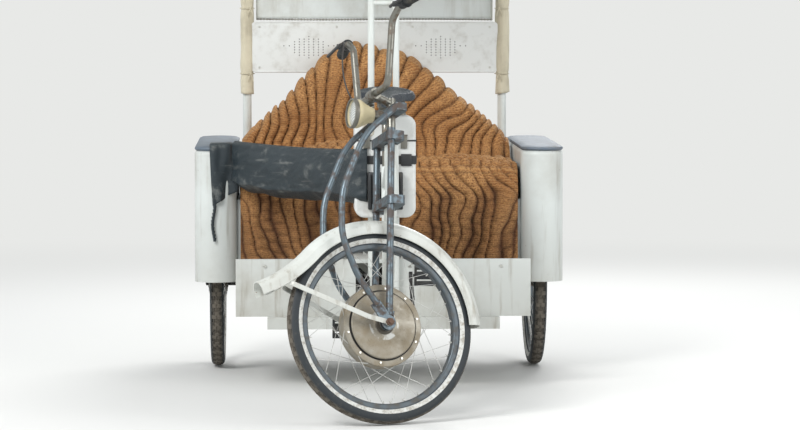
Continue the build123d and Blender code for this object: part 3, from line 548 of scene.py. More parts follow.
rubber.set("Base Color", rubber.mix(stripe, tread, chalk))
rubber.set("Roughness", dusty * 0.2 + 0.66)
rubber.bump(grit + rubber.noise(420.0, 2.0) * 0.5, 0.0006, 0.5)


def tyre_mesh():
    """A casing with lifted knobs, about the X axis."""
    made = turned(CASING, TREAD_STEPS, closed=True)
    knobs = []
    for face in made.faces:
        centre = face.calc_center_median()
        radius = math.hypot(centre.y, centre.z)
        if radius < TREAD_INNER:
            continue
        turn = math.atan2(centre.z, centre.y) / (2 * math.pi) + 1.0
        step = round(turn * TREAD_STEPS - 0.5)
        across = abs(centre.x)
        middle = across < 0.002 and step % 3 != 0
        inner = 0.0085 < across < 0.0155 and step % 3 != 1
        outer = 0.0165 < across < 0.0215 and step % 2 == 0
        inner_row = 0.003 < across < 0.0078 and step % 3 == 2
        if middle or inner or outer or inner_row:
            knobs.append(face)
    bmesh.ops.inset_individual(made, faces=knobs, thickness=KNOB_TAPER, depth=KNOB_DEEP,
                               use_even_offset=True)
    bmesh.ops.recalc_face_normals(made, faces=made.faces)
    ring_map(made)
    return made


finished(tyre_mesh(), "front_knobbed_tyre", rubber, "front_wheel", ["front_tyre"], front_wheel,
         35.0)
for side, place in rear_wheels.items():
    finished(tyre_mesh(), side + "_rear_knobbed_tyre", rubber, side + "_rear_wheel",
             [side + "_rear_tyre"], place, 35.0)

# %% [markdown]
# The hub motor is the heart of the front wheel: two cast covers bolted to a flanged ring, with a
# dark groove where they meet and a stepped boss round the axle. All of it is turned on a lathe in
# real life, so one spun outline gives the casting. Dust dulls it to taupe, and bright arcs near the
# boss are painted highlights.

# %% Hub motor
half_motor = [
    (0.0480, 0.0076), (0.0480, 0.0185), (0.0470, 0.0200), (0.0450, 0.0205), (0.0445, 0.0255),
    (0.0430, 0.0290), (0.0400, 0.0308), (0.0368, 0.0310), (0.0360, 0.0325), (0.0358, 0.0420),
    (0.0352, 0.0445), (0.0352, 0.0700), (0.0346, 0.0950), (0.0335, 0.1035), (0.0305, 0.1062),
    (0.0262, 0.1070), (0.0236, 0.1076), (0.0232, 0.1096), (0.0240, 0.1108), (0.0238, 0.1250),
    (0.0228, 0.1277), (0.0200, 0.1289), (0.0135, 0.1290), (0.0120, 0.1278),
]
motor_outline = half_motor + [(-x, radius) for x, radius in reversed(half_motor)]
casting = Finish("motor_casting", screen(148, 138, 120), 0.5, 0.55)
out = casting.node("SeparateXYZ", inputs={0: casting.node("TexCoord", output="UV")}, output="Y")
dust = casting.noise(18.0, 6.0, 0.65).step(0.3, 0.75)
pits = casting.noise(260.0, 3.0, 0.6)
# Painted highlight: bright silver arcs near the boss stand for the shine on the ring round the axle.
rubbed_and_highlight = out.band(0.033, 0.046, 0.004) * casting.noise(30.0, 3.0).step(0.48, 0.6)
groove = out.band(0.1066, 0.1098, 0.0008)
boss = 1.0 - out.step(0.029, 0.032)
body_tone = casting.mix(dust, screen(150, 146, 136), screen(134, 122, 100))
spotted = casting.mix(pits.step(0.6, 0.72) * 0.5, body_tone, screen(88, 78, 64))
casting_with_highlight = casting.mix(rubbed_and_highlight, spotted, screen(190, 190, 186))
ringed = casting.mix(boss * 0.8, casting_with_highlight, screen(54, 50, 46))
casting.set("Base Color", casting.mix(groove, ringed, screen(22, 21, 20)))
casting.set("Metallic", (1.0 - dust * 0.75) * (1.0 - groove) * 0.8)
casting.set("Roughness", dust * 0.3 + 0.42)
casting.bump(pits + dust * 0.6, 0.0006, 0.45)
motor = turned(motor_outline, 96, closed=True)
ring_map(motor)
finished(motor, "motor_casting_ring", casting, "front_wheel", ["hub_motor"],
         front_wheel, 30.0)

# %% [markdown]
# Ten pan-head screws hold each cover. They are bright because they are newer than the casting.
# Each is a short cone with a sunk round socket, repeated round the flange. Small sleeves stand
# where the spokes enter the rim, each turned as its spoke leans.

# %% Motor screws and spoke nipples
SCREWS = 10
SCREW_RING = 0.1170
FIRST_SCREW = 14.0
FLANGE_X = 0.0238
SPOKES = 36
SPOKE_LEAN = 42.0
NIPPLE_R = 0.2425
screw_metal = bare_metal("screw_metal", screen(206, 206, 200), screen(120, 104, 84), 0.02, 0.28)


def add_screw(made, centre, outward, radius, height):
    """A pan-head screw with a socket, standing on a face."""
    outward = Vector(outward)
    turn = outward.to_track_quat("Z", "Y").to_matrix().to_4x4()
    place = Matrix.Translation(Vector(centre) + outward * height * 0.5) @ turn
    head_verts = bmesh.ops.create_cone(made, cap_ends=True, segments=12, radius1=radius,
                                       radius2=radius * 0.82, depth=height, matrix=place)["verts"]
    near_top = Vector(centre).dot(outward) + height * 0.8
    tops = [face for face in {face for vert in head_verts for face in vert.link_faces}
            if len(face.verts) == 12 and face.calc_center_median().dot(outward) > near_top]
    bmesh.ops.inset_individual(made, faces=tops, thickness=radius * 0.4, depth=0.0)
    bmesh.ops.inset_individual(made, faces=tops, thickness=radius * 0.04, depth=-height * 0.55)


screws = bmesh.new()
for side in (-1, 1):
    for number in range(SCREWS):
        angle = math.radians(360.0 / SCREWS * number + FIRST_SCREW)
        centre = (side * FLANGE_X, SCREW_RING * math.cos(angle), SCREW_RING * math.sin(angle))
        add_screw(screws, centre, (side, 0.0, 0.0), 0.0040, 0.0032)
finished(screws, "motor_screws", screw_metal, "front_wheel", place=front_wheel,
         sharp=35.0)


def add_nipples(body, place, name):
    """Small sleeves where the spokes reach the rim, every second one leaning forward."""
    made = bmesh.new()
    for number in range(SPOKES):
        side = 1 if number % 2 else -1
        forward = 1 if (number // 2) % 2 else -1
        angle = math.radians(360.0 / SPOKES * number + forward * SPOKE_LEAN)
        outward = Vector((0.0, math.cos(angle), math.sin(angle)))
        tip = outward * NIPPLE_R + Vector((side * 0.004, 0.0, 0.0))
        bar_between(made, tip, tip - outward * 0.011, 0.0024, 8, 0.0017)
    finished(made, name, screw_metal, body, place=place, sharp=35.0)


add_nipples("front_wheel", front_wheel, "front_spoke_nipples")
for side, place in rear_wheels.items():
    add_nipples(side + "_rear_wheel", place, side + "_rear_spoke_nipples")

# %% [markdown]
# The throw is the eye-catcher: a thick caramel plush, sheared in fat ribs that fan out like a
# shell over the back rest, with bobbled rows heaped at the seat's front edge and loose folds below.
# It is one sheet, so it starts as a flat grid. Each point is carried along the path that the cloth
# takes over back and seat, and is then pushed outwards by the ribs. Working the ribs into the mesh
# keeps their bumpy outline, which a bump map alone would lose.

# %% Throw path
THROW_HALF = 0.489
BACK_FRONT_Y = AXLE_Y + 0.069
PANEL_REAR_Y = AXLE_Y + 0.173
PANEL_CROWN_R = 0.27
PANEL_CROWN_Z = 0.856
PANEL_CROWN_HALF = 0.1725
SHOULDER_Z = 0.800
SHOULDER_SLOPE = 0.830
SEAT_TOP_Z = 0.735
HANG_Y = AXLE_Y - 0.335
TOP_EDGE = [(-0.489, 0.800), (-0.424, 0.850), (-0.346, 0.925), (-0.247, 1.042), (-0.19, 1.103),
            (-0.13, 1.140), (-0.075, 1.146), (-0.02, 1.140), (0.06, 1.122), (0.12, 1.094),
            (0.20, 1.040), (0.489, 0.800)]
HEM_EDGE = [(-0.489, 0.405), (-0.44, 0.390), (-0.30, 0.325), (-0.24, 0.320), (-0.18, 0.400), (-0.11, 0.450),
            (0.05, 0.450), (0.18, 0.370), (0.34, 0.330), (0.489, 0.372)]


def between(table, x):
    """The height that a table of (x, height) pairs gives at x, with straight runs."""
    for (left, low), (right, high) in zip(table, table[1:]):
        if x <= right:
            return low + (high - low) * max(0.0, x - left) / (right - left)
    return table[-1][1]


def smooth_share(value, low, high):
    """0 below low, 1 above high, smooth between."""
    share = max(0.0, min(1.0, (value - low) / (high - low)))
    return share * share * (3.0 - 2.0 * share)


def panel_top(x):
    """Height of the back panel's edge: a round crown whose sides slope down to the shoulders."""
    if abs(x) < PANEL_CROWN_HALF:
        return PANEL_CROWN_Z + math.sqrt(PANEL_CROWN_R ** 2 - x * x)
    return SHOULDER_Z + SHOULDER_SLOPE * (0.490 - abs(x))


def throw_point(u, v):
    """The cloth's point and outward direction at u, -1 to 1, and v, 0 to 1, and the path's length."""
    x = u * THROW_HALF
    top = max(between(TOP_EDGE, x), panel_top(x) + 0.006)
    hem = between(HEM_EDGE, x) + 0.012 * lumps(x * 7.0, 3.1, 0.0)
    heap = 0.072 * math.exp(-((x + 0.15) / 0.15) ** 2) + 0.018 * math.exp(-((x - 0.28) / 0.12) ** 2)
    # Each row is y, z and the outward direction's y and z.
    path = [
        (PANEL_REAR_Y, top - 0.125 - 0.02 * math.sin(9.0 * x), 1, 0),
        (PANEL_REAR_Y, top - 0.022, 1, 0.3),
        (PANEL_REAR_Y - 0.012, top, 0.4, 1),
        ((PANEL_REAR_Y + BACK_FRONT_Y) / 2, top + 0.002, 0, 1),
        (BACK_FRONT_Y + 0.004, top - 0.014, -0.7, 0.7),
        (BACK_FRONT_Y - 0.004, top - 0.05, -1, 0.15),
        (BACK_FRONT_Y - 0.010, SEAT_TOP_Z + 0.06, -1, 0.1),
        (BACK_FRONT_Y - 0.040, SEAT_TOP_Z + 0.012, -0.7, 0.7),
        (BACK_FRONT_Y - 0.15, SEAT_TOP_Z + 0.2 * heap, 0.2, 1),
        (HANG_Y + 0.130, SEAT_TOP_Z + heap, 0, 1),
        (HANG_Y + 0.040, SEAT_TOP_Z + 0.45 * heap, -0.5, 0.8),
        (HANG_Y + 0.006, SEAT_TOP_Z - 0.020, -0.7, 0.7),
        (HANG_Y - 0.004, SEAT_TOP_Z - 0.07, -1, 0.1),
        (HANG_Y - 0.006, hem, -1, 0),
    ]
    runs = [(Vector((x, y, z)), Vector((0, out_y, out_z))) for y, z, out_y, out_z in path]
    lengths = [(second[0] - first[0]).length for first, second in zip(runs, runs[1:])]
    target = v * sum(lengths)
    for (start, before), (end, after), length in zip(runs, runs[1:], lengths):
        if target <= length or end is runs[-1][0]:
            share = min(1.0, target / length)
            smooth = smooth_share(share, 0.0, 1.0)
            return start.lerp(end, share), before.lerp(after, smooth).normalized(), sum(lengths)
        target -= length


# %% [markdown]
# The ribs are the rounded hills of a phase that counts them. On the back rest the phase is an
# angle about a point low on the seat, so the ribs spread upwards. On the seat they run straight
# forward, and below they draw together towards the hem. Mixing phases bends a rib without a break.

# %% Throw ribs
FAN_X = 0.215
FAN_Z = 0.60
RIB_ANGLE = 0.100
RIB_PITCH = 0.040
FOLD_PITCH = 0.050
BEAD_LENGTH = 0.043
BOBBLE_X, BOBBLE_Y = 0.036, 0.034


def pillow(phase):
    """A round-topped rib with a narrow valley, 0 to 1."""
    share = phase - math.floor(phase) - 0.5
    return math.sqrt(max(0.0, 1.0 - (2.0 * abs(share)) ** 2.4))


def throw_relief(x, point):
    """How far the plush stands out, in metres, how deep in a valley or fold trough it is, which the finish
    paints as shade, and the run of its rib.
    """
    y, z = point.y, point.z
    wander = 0.010 * lumps(x * 5.0, z * 4.0, y * 4.0)
    angle = math.atan2(x + FAN_X + wander, max(0.10, z - FAN_Z))
    fan = angle / RIB_ANGLE + 4.0 * max(0.0, angle - 0.55) ** 2
    straight = (x + FAN_X + 2.0 * wander) / RIB_PITCH
    drawn_in = (x + 0.19) * (1.0 + 0.8 * max(0.0, 0.72 - z))
    gather = drawn_in / FOLD_PITCH + 1.6 * lumps(x * 3.0, z * 2.0, 1.0)
    on_back = smooth_share(z, 0.80, 0.92) if y > HANG_Y + 0.25 else 0.0
    below = smooth_share(0.72 - z, 0.0, 0.10)
    phase = straight + (fan - straight) * on_back
    phase += (gather - phase) * below + 0.85 * lumps(x * 8.0, z * 2.4, 4.0)
    phase += 0.7 * below * lumps(x * 9.0, z * 11.0, 6.0)
    rib = pillow(phase)
    number = math.floor(phase)
    down_rib = z if y > HANG_Y + 0.30 or z < 0.70 else y
    lumpy = 0.35 + 0.65 * max(below, smooth_share(-x, 0.18, 0.30))
    uneven = 0.8 * lumps(x * 9.0, down_rib * 6.0, 2.0)
    beads = pillow(down_rib / BEAD_LENGTH + 0.37 * number + uneven)
    row = math.exp(-((y - HANG_Y - 0.075) / 0.075) ** 2) * (1.0 - below) if z < 0.86 else 0.0
    stagger = 0.5 * (math.floor(y / BOBBLE_Y) % 2) + 9.0 * wander
    bobble = pillow(x / BOBBLE_X + stagger) * pillow(y / BOBBLE_Y)
    size = 0.0195 + 0.009 * lumps(number * 0.7, z * 3.0, 8.0)
    height = size * rib * (1.0 - 0.45 * below) * (1.0 - 0.85 * row)
    height += 0.0085 * beads * rib * lumpy * (1.0 - row)
    height += 0.021 * row * bobble
    folds = math.sin(drawn_in * 38.0 + 2.6 * lumps(x * 4.0, z * 2.0, 5.0))
    height += below * 0.0135 * (folds + 1.0)
    # The second value measures rib valleys, bead gaps and fold troughs below the seat, and the finish paints
    # it as shade.
    deep = 1.0 - (rib * (0.72 + 0.28 * beads) * (1.0 - row) + row * bobble)
    return height, deep + 0.45 * below * (1.0 - folds) * 0.5, down_rib


throw_mesh = cloth_grid(252, 320)
# The valley layer carries painted shade for the plush finish.
valley = throw_mesh.verts.layers.float.new("valley")
rows = throw_mesh.verts.layers.float.new("rows")
cloth_length = 0.0
for vert in throw_mesh.verts:
    u, v = vert.co.x, (vert.co.y + 1.0) / 2
    point, outward, cloth_length = throw_point(u, v)
    height, deep, along_rib = throw_relief(u * THROW_HALF, point)
    vert[valley] = deep
    vert[rows] = along_rib
    edge = min(1.0, (1.0 - abs(u)) * 14.0)
    vert.co = point + outward * (0.004 + height * (0.35 + 0.65 * edge))
print("throw path", round(cloth_length, 3), "m")

# %% Throw finish
plush = Finish("caramel_plush", screen(170, 118, 66), 0.85, Sheen_Weight=0.3, Sheen_Roughness=0.4)
plush.set("Sheen Tint", screen(232, 196, 142))
valley_shade = plush.node("Attribute", {"attribute_name": "valley"}, output="Fac")
rib_run = plush.node("Attribute", {"attribute_name": "rows"}, output="Fac")
stripes = (rib_run * 900.0 + plush.noise(60.0, 2.0) * 6.0).math("SINE")
tufts = plush.noise(150.0, 4.0, 0.7)
tone = plush.noise(7.0, 4.0, 0.6)
tips = plush.mix(tone.step(0.3, 0.7), screen(166, 112, 60), screen(204, 152, 94))
fibres = plush.mix(tufts.step(0.35, 0.65), tips, screen(128, 84, 46))
fibres = plush.mix((stripes + tufts).step(0.9, 1.5) * 0.35, fibres, screen(214, 170, 112))
# Painted shade: the plush darkens towards the bottom, below the seat's edge.
fibres = plush.mix((1.0 - plush.axis("Z").step(0.50, 0.74)) * 0.38, fibres, screen(96, 62, 36))
# Painted shade: rib valleys and fold troughs darken towards a deep brown.
plush.set("Base Color", plush.mix(valley_shade.step(0.15, 1.0), fibres, screen(86, 52, 28)))
plush.bump(tufts + plush.noise(520.0, 2.0) * 0.6 + stripes * 0.18, 0.004, 0.8)
throw = finished(throw_mesh, "plush_ribbed_throw", plush, stands_for=["plush_throw"],
                 sharp=80.0, outwards=False)

# %% [markdown]
# The apron is a strip of dark leatherette that screens the passengers' knees. It runs from the
# right wheel housing to the battery case, bellies out a little, and its lower edge curls in. Its
# outer end is laid over the housing and hangs down in a loose point. It is a thin grid, moved along
# that route, with long soft creases from noise and a Solidify modifier for its thickness.

# %% Apron
APRON_TOP_Z = 0.829
LEATHERETTE = 0.0026
FACE_SHARE = 0.70
SHELL_X = 0.575
SHELL_NOSE = Vector((-SHELL_X, AXLE_Y - 0.325, 0.0))
# Each pair is x and how far ahead of the rear axle.
route_pairs = [(-0.512, 0.405), (-0.490, 0.440), (-0.400, 0.530), (-0.290, 0.655), (-0.200, 0.775),
               (-0.128, 0.905), (-0.108, 0.958), (-0.088, 0.974), (-0.060, 0.976)]
apron_route = [Vector((x, AXLE_Y - ahead, 0.0)) for x, ahead in route_pairs]


def along(points, share):
    """A point and direction a share of the way along a row of points."""
    lengths = [(b - a).length for a, b in zip(points, points[1:])]
    target = share * sum(lengths)
    for start, end, length in zip(points, points[1:], lengths):
        if target <= length or end is points[-1]:
            return start.lerp(end, min(1.0, target / length)), (end - start).normalized()
        target -= length


apron_mesh = cloth_grid(120, 44)
for vert in apron_mesh.verts:
    share = (vert.co.x + 1.0) / 2
    down = (1.0 - vert.co.y) / 2
    base, run = along(apron_route, share)
    outward = Vector((run.y, -run.x, 0.0))
    face = min(1.0, down / FACE_SHARE)
    under = max(0.0, down - FACE_SHARE) / (1.0 - FACE_SHARE)
    top = APRON_TOP_Z - 0.010 * math.sin(math.pi * share) - 0.010 * share
    deep = 0.138 + 0.020 * share + 0.006 * math.sin(7.0 * share)
    belly = 0.020 * math.sin(math.pi * min(1.0, face * 1.05)) * math.sin(math.pi * min(1.0, share * 1.2))
    crease = 0.0060 * lumps(share * 9.0, face * 2.4, 7.0)
    crease += 0.0032 * lumps(share * 22.0 + face * 6.0, face * 8.0, 2.0)
    edge_wave = 0.006 * lumps(share * 10.0, 0.0, 9.0) * face
    roll = 0.012 * max(0.0, 0.06 - face) / 0.06
    vert.co = base + outward * (0.006 + belly + crease - roll - 0.075 * under)
    vert.co.z = top - deep * face + edge_wave - 0.034 * math.sin(0.5 * math.pi * under)
apron = cloth_piece(apron_mesh, "leatherette_apron", apron_vinyl, LEATHERETTE, ["apron"])

# %% [markdown]
# The loose end is laid over the inner front corner of the housing, folds over its edge and hangs
# in a flap with a slanting lower edge. A narrow beaded strip hangs out below it, which is a row of
# small knobs on a tape.

# %% Apron end
NOSE_TOP_Z = 0.812
FOLD_OVER = 0.045
FRINGE_X = SHELL_NOSE.x + 0.084 * math.cos(math.radians(-103.0)) + 0.012
FRINGE_Y = SHELL_NOSE.y + 0.084 * math.sin(math.radians(-103.0)) - 0.004
FRINGE_TOP_Z = 0.640
end_mesh = cloth_grid(36, 44)
for vert in end_mesh.verts:
    share = (vert.co.x + 1.0) / 2
    down = (1.0 - vert.co.y) / 2
    angle = math.radians(-104.0 + 74.0 * share)
    lift = 0.005 + 0.004 * math.sin(11.0 * share + 4.0 * down)
    length = 0.215 - 0.055 * share
    path = down * (length + FOLD_OVER)
    inward = max(0.0, FOLD_OVER - path)
    droop = max(0.0, path - FOLD_OVER)
    wave = 0.010 * min(1.0, droop * 8.0) * math.sin(8.0 * share + 0.5)
    ring = 0.0765 + lift + wave - inward
    vert.co.x = SHELL_NOSE.x + ring * math.cos(angle) + 0.012 * (1.0 - share) * min(1.0, droop * 4.0)
    vert.co.y = SHELL_NOSE.y + ring * math.sin(angle)
    vert.co.z = NOSE_TOP_Z + 0.005 - droop + 0.005 * math.sin(math.pi * inward / FOLD_OVER)
apron_end = cloth_piece(end_mesh, "leatherette_apron_end", apron_vinyl, LEATHERETTE)

fringe = bmesh.new()
for bead in range(13):
    top = Vector((FRINGE_X + 0.004 * math.sin(bead * 0.6), FRINGE_Y, FRINGE_TOP_Z - 0.0125 * bead))
    bar_between(fringe, top, top - Vector((0.0, 0.0, 0.0128)), 0.0062, 8, 0.0046)
finished(fringe, "apron_beaded_strip", apron_vinyl, sharp=50.0)

# %% [markdown]
# The headlamp is a cone of cream plastic with a dark ring, a lens and a grey bracket behind. It is
# turned in its own frame along X, and one matrix lays it along the steering's forward direction.

# %% Headlamp
LAMP_S = 0.676
LAMP_REAR = 0.062
lamp_turn = Matrix.Rotation(math.radians(-90.0), 4, "Z")
lamp_place = steered @ Matrix.Translation((0.0, -LAMP_REAR, LAMP_S)) @ lamp_turn
shell_line = [(0.0, 0.004), (0.0, 0.0225), (0.003, 0.0245), (0.012, 0.0262), (0.030, 0.0350),
              (0.046, 0.0440), (0.050, 0.0456), (0.066, 0.0458), (0.0685, 0.0445), (0.0685, 0.0420),
              (0.060, 0.0400), (0.030, 0.0180), (0.026, 0.004)]
shell = turned(shell_line, 40, closed=True)
finished(shell, "headlamp_shell", lamp_plastic, "steering", ["headlamp"], lamp_place,
         35.0)
lens_line = [(0.0700, 0.0004), (0.0695, 0.0120), (0.0670, 0.0260), (0.0640, 0.0415), (0.0610, 0.0412),
             (0.0650, 0.0004)]
lens_finish = Finish("lamp_lens", screen(196, 200, 196), 0.08, 0.0, Coat_Weight=0.6)
flutes = lens_finish.node("TexWave", {"bands_direction": "DIAGONAL"},
                          {"Vector": lens_finish.place(), "Scale": 70.0})
lens_finish.set("Base Color", lens_finish.mix(flutes, screen(206, 208, 202), screen(150, 156, 154)))
lens_finish.bump(flutes, 0.0015, 0.6)
finished(turned(lens_line, 40), "headlamp_lens", lens_finish, "steering",
         place=lamp_place)
rim_line = [(0.060, 0.0459), (0.062, 0.0475), (0.072, 0.0475), (0.0745, 0.0460), (0.0745, 0.0425),
            (0.069, 0.0415), (0.069, 0.0459)]
finished(turned(rim_line, 40, closed=True), "headlamp_rim", bar_steel, "steering",
         place=lamp_place, sharp=35.0)
mount = bmesh.new()
bar_between(mount, (0.0, -LAMP_REAR + 0.002, LAMP_S), (0.0, -0.030, LAMP_S), 0.017, 20)
bar_between(mount, (0.0, -0.044, LAMP_S - 0.001), (0.0, -0.036, LAMP_S - 0.001), 0.0195, 20)
finished(mount, "headlamp_mount", bar_steel, "steering", place=steered, sharp=35.0)

# %% [markdown]
# The cable comes out of the right lever's barrel, loops forward past the bar and ends in the front
# of the stays' bracket. It follows the same points as its CAD tube, as one smooth NURBS line with a
# round bevel.

# %% Brake cable
CABLE_R = 0.0025
cable_points = [(-0.21406, -0.08565, 0.96648), (-0.160, -0.092, 0.966), (-0.118, -0.112, 0.930),
                (-0.092, -0.128, 0.876), (-0.076, -0.130, 0.816), (-0.066, -0.118, 0.758),
                (-0.061, -0.088, 0.712), (-0.060, -0.050, 0.688), (-0.060, -0.020, 0.688)]
cable_line = bpy.data.curves.new("brake_cable_loop", "CURVE")
cable_line.dimensions = "3D"
run = cable_line.splines.new("NURBS")
run.points.add(len(cable_points) - 1)
for point, place in zip(run.points, cable_points):
    point.co = (*(steered @ Vector(place)), 1.0)
run.order_u = 3
run.use_endpoint_u = True
cable_line.bevel_depth = CABLE_R
cable_line.bevel_resolution = 3
cable_line.resolution_u = 8
cable_line.use_fill_caps = True
cable_sheath = moulded("cable_sheath", screen(46, 42, 40), 0.5, 0.3)
cable_line.materials.append(cable_sheath.material)
cable = bpy.data.objects.new("brake_cable_loop", cable_line)
bpy.context.scene.collection.objects.link(cable)
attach(cable, "steering")
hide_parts("right_brake_cable")

# %% [markdown]
# The saddle is wide, sprung and padded: two round cheeks and a narrow nose. A sphere's points are
# squeezed into its outline, between a top that crowns and an underside that stays nearly flat, and
# a subdivision surface smooths it.

# %% Saddle
SADDLE_TOP = 1.015
SADDLE_NOSE_Y = AXLE_Y - 1.142
SADDLE_LENGTH = 0.281
CHEEK_HALF = 0.106
NOSE_HALF = 0.021
WIDEST = 0.78


def saddle_half_width(share):
    """Half the saddle's width from the nose, 0, to the back, 1."""
    cheek = nose = CHEEK_HALF
    if share > WIDEST:
        cheek *= math.sqrt(max(0.0, 1.0 - ((share - WIDEST) / 0.235) ** 2))
    elif share < WIDEST:
        nose = NOSE_HALF + (CHEEK_HALF - NOSE_HALF) * (max(0.0, share - 0.30) / 0.48) ** 1.25
    tip = math.sqrt(max(0.0, 1.0 - max(0.0, 0.07 - share) ** 2 / 0.07 ** 2))
    return max(0.004, min(cheek, nose) * tip)


saddle_mesh = bmesh.new()
bmesh.ops.create_uvsphere(saddle_mesh, u_segments=40, v_segments=28, radius=1.0,
                          matrix=Matrix.Rotation(math.radians(90.0), 4, "X"))
for vert in saddle_mesh.verts:
    share = (vert.co.y + 1.0) / 2
    ring = math.hypot(vert.co.x, vert.co.z)
    across = vert.co.x / max(ring, 1e-6)
    up = vert.co.z / max(ring, 1e-6)
    half = saddle_half_width(min(0.999, max(0.001, share)))
    square = max(abs(across), abs(up))
    across, up = across / square ** 0.72, up / square ** 0.72
    crown = 0.018 + 0.010 * share - 0.006 * math.sin(math.pi * share)
    fall = 0.018 * (1.0 - share) ** 3 - 0.010 * max(0.0, share - 0.8) / 0.2
    split = 0.004 * math.exp(-(across * half / 0.012) ** 2) * math.sin(math.pi * share)
    vert.co.x = across * half * 0.985
    vert.co.y = SADDLE_NOSE_Y + SADDLE_LENGTH * share
    vert.co.z = SADDLE_TOP - 0.024 - fall + (up * crown * 0.9 - split if up > 0 else up * 0.016)
saddle = finished(saddle_mesh, "padded_saddle", saddle_vinyl, stands_for=["saddle"],
                  sharp=80.0)
rounding = saddle.modifiers.new("rounding", "SUBSURF")
rounding.levels = rounding.render_levels = 1

# %% [markdown]
# The canopy cover is coated cloth pulled over three bows. It sags a little between them, turns down
# over the side rails and ends in a wavy hem. The top and both side drops are one sheet. Two short
# valances, cut to the bows' curve, close the ends, and a corded hem runs along every lower edge.

# %% Canopy
BOW_CENTRE_Z = 0.6678
COVER_R = 1.2868
COVER_HALF_ARC = 0.5045
SIDE_DROP = 0.074
HEM_LINE_Z = 1.783
HEM_HALF = 0.4915
CANOPY_CLOTH = 0.0022
COVER_FRONT_Y = AXLE_Y - 0.828
COVER_REAR_Y = AXLE_Y + 0.212
COVER_LENGTH = COVER_REAR_Y - COVER_FRONT_Y
bow_rows = [AXLE_Y - 0.800, AXLE_Y - 0.305, AXLE_Y + 0.190]


def cover_sag(y):
    """How far the cloth hangs below the line of the bows, at y."""
    for front, rear in zip(bow_rows, bow_rows[1:]):
        if front <= y <= rear:
            return 0.013 * math.sin(math.pi * (y - front) / (rear - front)) ** 2
    return 0.0


def side_hem(y, side):
    """How far the side's lower edge waves outwards and upwards, at y."""
    return 0.0025 * math.sin(23.0 * y + 2.0 * side), 0.004 * math.sin(17.0 * y + side)


def end_hem(x, bulge):
    """How far an end's lower edge waves outwards, and its height, at x."""
    return bulge * math.sin(19.0 * x) * 0.5, HEM_LINE_Z + 0.005 * math.sin(21.0 * x + bulge * 40.0)


canopy_mesh = cloth_grid(120, 84)
for vert in canopy_mesh.verts:
    run = vert.co.x * (COVER_HALF_ARC + SIDE_DROP)
    y = COVER_FRONT_Y + COVER_LENGTH * (vert.co.y + 1.0) / 2
    side = 1.0 if run > 0.0 else -1.0
    outward, upward = side_hem(y, side)
    flat_run = min(abs(run), COVER_HALF_ARC)
    drop = max(0.0, abs(run) - COVER_HALF_ARC)
    middle = math.cos(0.5 * math.pi * flat_run / COVER_HALF_ARC)
    wrinkle = 0.0016 * lumps(run * 7.0, y * 16.0, 3.0)
    radius = COVER_R - cover_sag(y) * middle + wrinkle
    angle = flat_run / COVER_R
    flare = outward * drop / SIDE_DROP
    vert.co = (side * (radius * math.sin(angle) + flare), y, BOW_CENTRE_Z + radius * math.cos(angle) - drop)
    vert.co.z += upward * drop / SIDE_DROP
canopy = cloth_piece(canopy_mesh, "canopy_sheet", canopy_cloth, CANOPY_CLOTH,
                     ["canopy_cover"])


def valance(name, y, bulge):
    """An end piece of the cover, from its arc down to the hem line."""
    made = cloth_grid(90, 14)
    for vert in made.verts:
        x = vert.co.x * HEM_HALF
        down = (1.0 - vert.co.y) / 2
        top = BOW_CENTRE_Z + math.sqrt(COVER_R ** 2 - x * x)
        outward, low = end_hem(x, bulge)
        vert.co = (x, y + outward * down, top + (low - top) * down)
    sheet = cloth_piece(made, name, canopy_cloth, CANOPY_CLOTH)


valance("canopy_front_valance", COVER_FRONT_Y - 0.0005, 0.006)
valance("canopy_rear_valance", COVER_REAR_Y - 0.0005, 0.003)


def cord_along(made, points, radius, sides=8):
    """Short bars from point to point, as a welt or a tie."""
    for start, end in zip(points, points[1:]):
        bar_between(made, start, end, radius, sides)


WELT_R = 0.0032
WELT_STEPS = 40
welts = bmesh.new()
for side in (-1, 1):
    x = side * COVER_R * math.sin(COVER_HALF_ARC / COVER_R)
    low_z = BOW_CENTRE_Z + COVER_R * math.cos(COVER_HALF_ARC / COVER_R) - SIDE_DROP
    line = []
    for step in range(WELT_STEPS + 1):
        y = COVER_FRONT_Y + COVER_LENGTH * step / WELT_STEPS
        outward, upward = side_hem(y, side)
        line.append((x + side * outward, y, low_z + upward))
    cord_along(welts, line, WELT_R)
for y, bulge in ((COVER_FRONT_Y, 0.006), (COVER_REAR_Y, 0.003)):
    line = []
    for step in range(WELT_STEPS + 1):
        x = HEM_HALF * (2 * step / WELT_STEPS - 1.0)
        outward, low = end_hem(x, bulge)
        line.append((x, y + outward, low))
    cord_along(welts, line, WELT_R)
finished(welts, "canopy_hem_welts", canopy_cloth, sharp=60.0)

# %% [markdown]
# Behind the seat a clouded rain flap hangs from the last bow down to the board. Its lower edge is a
# beaded cord, which is a row of small barrels, each a cone with a wider middle.

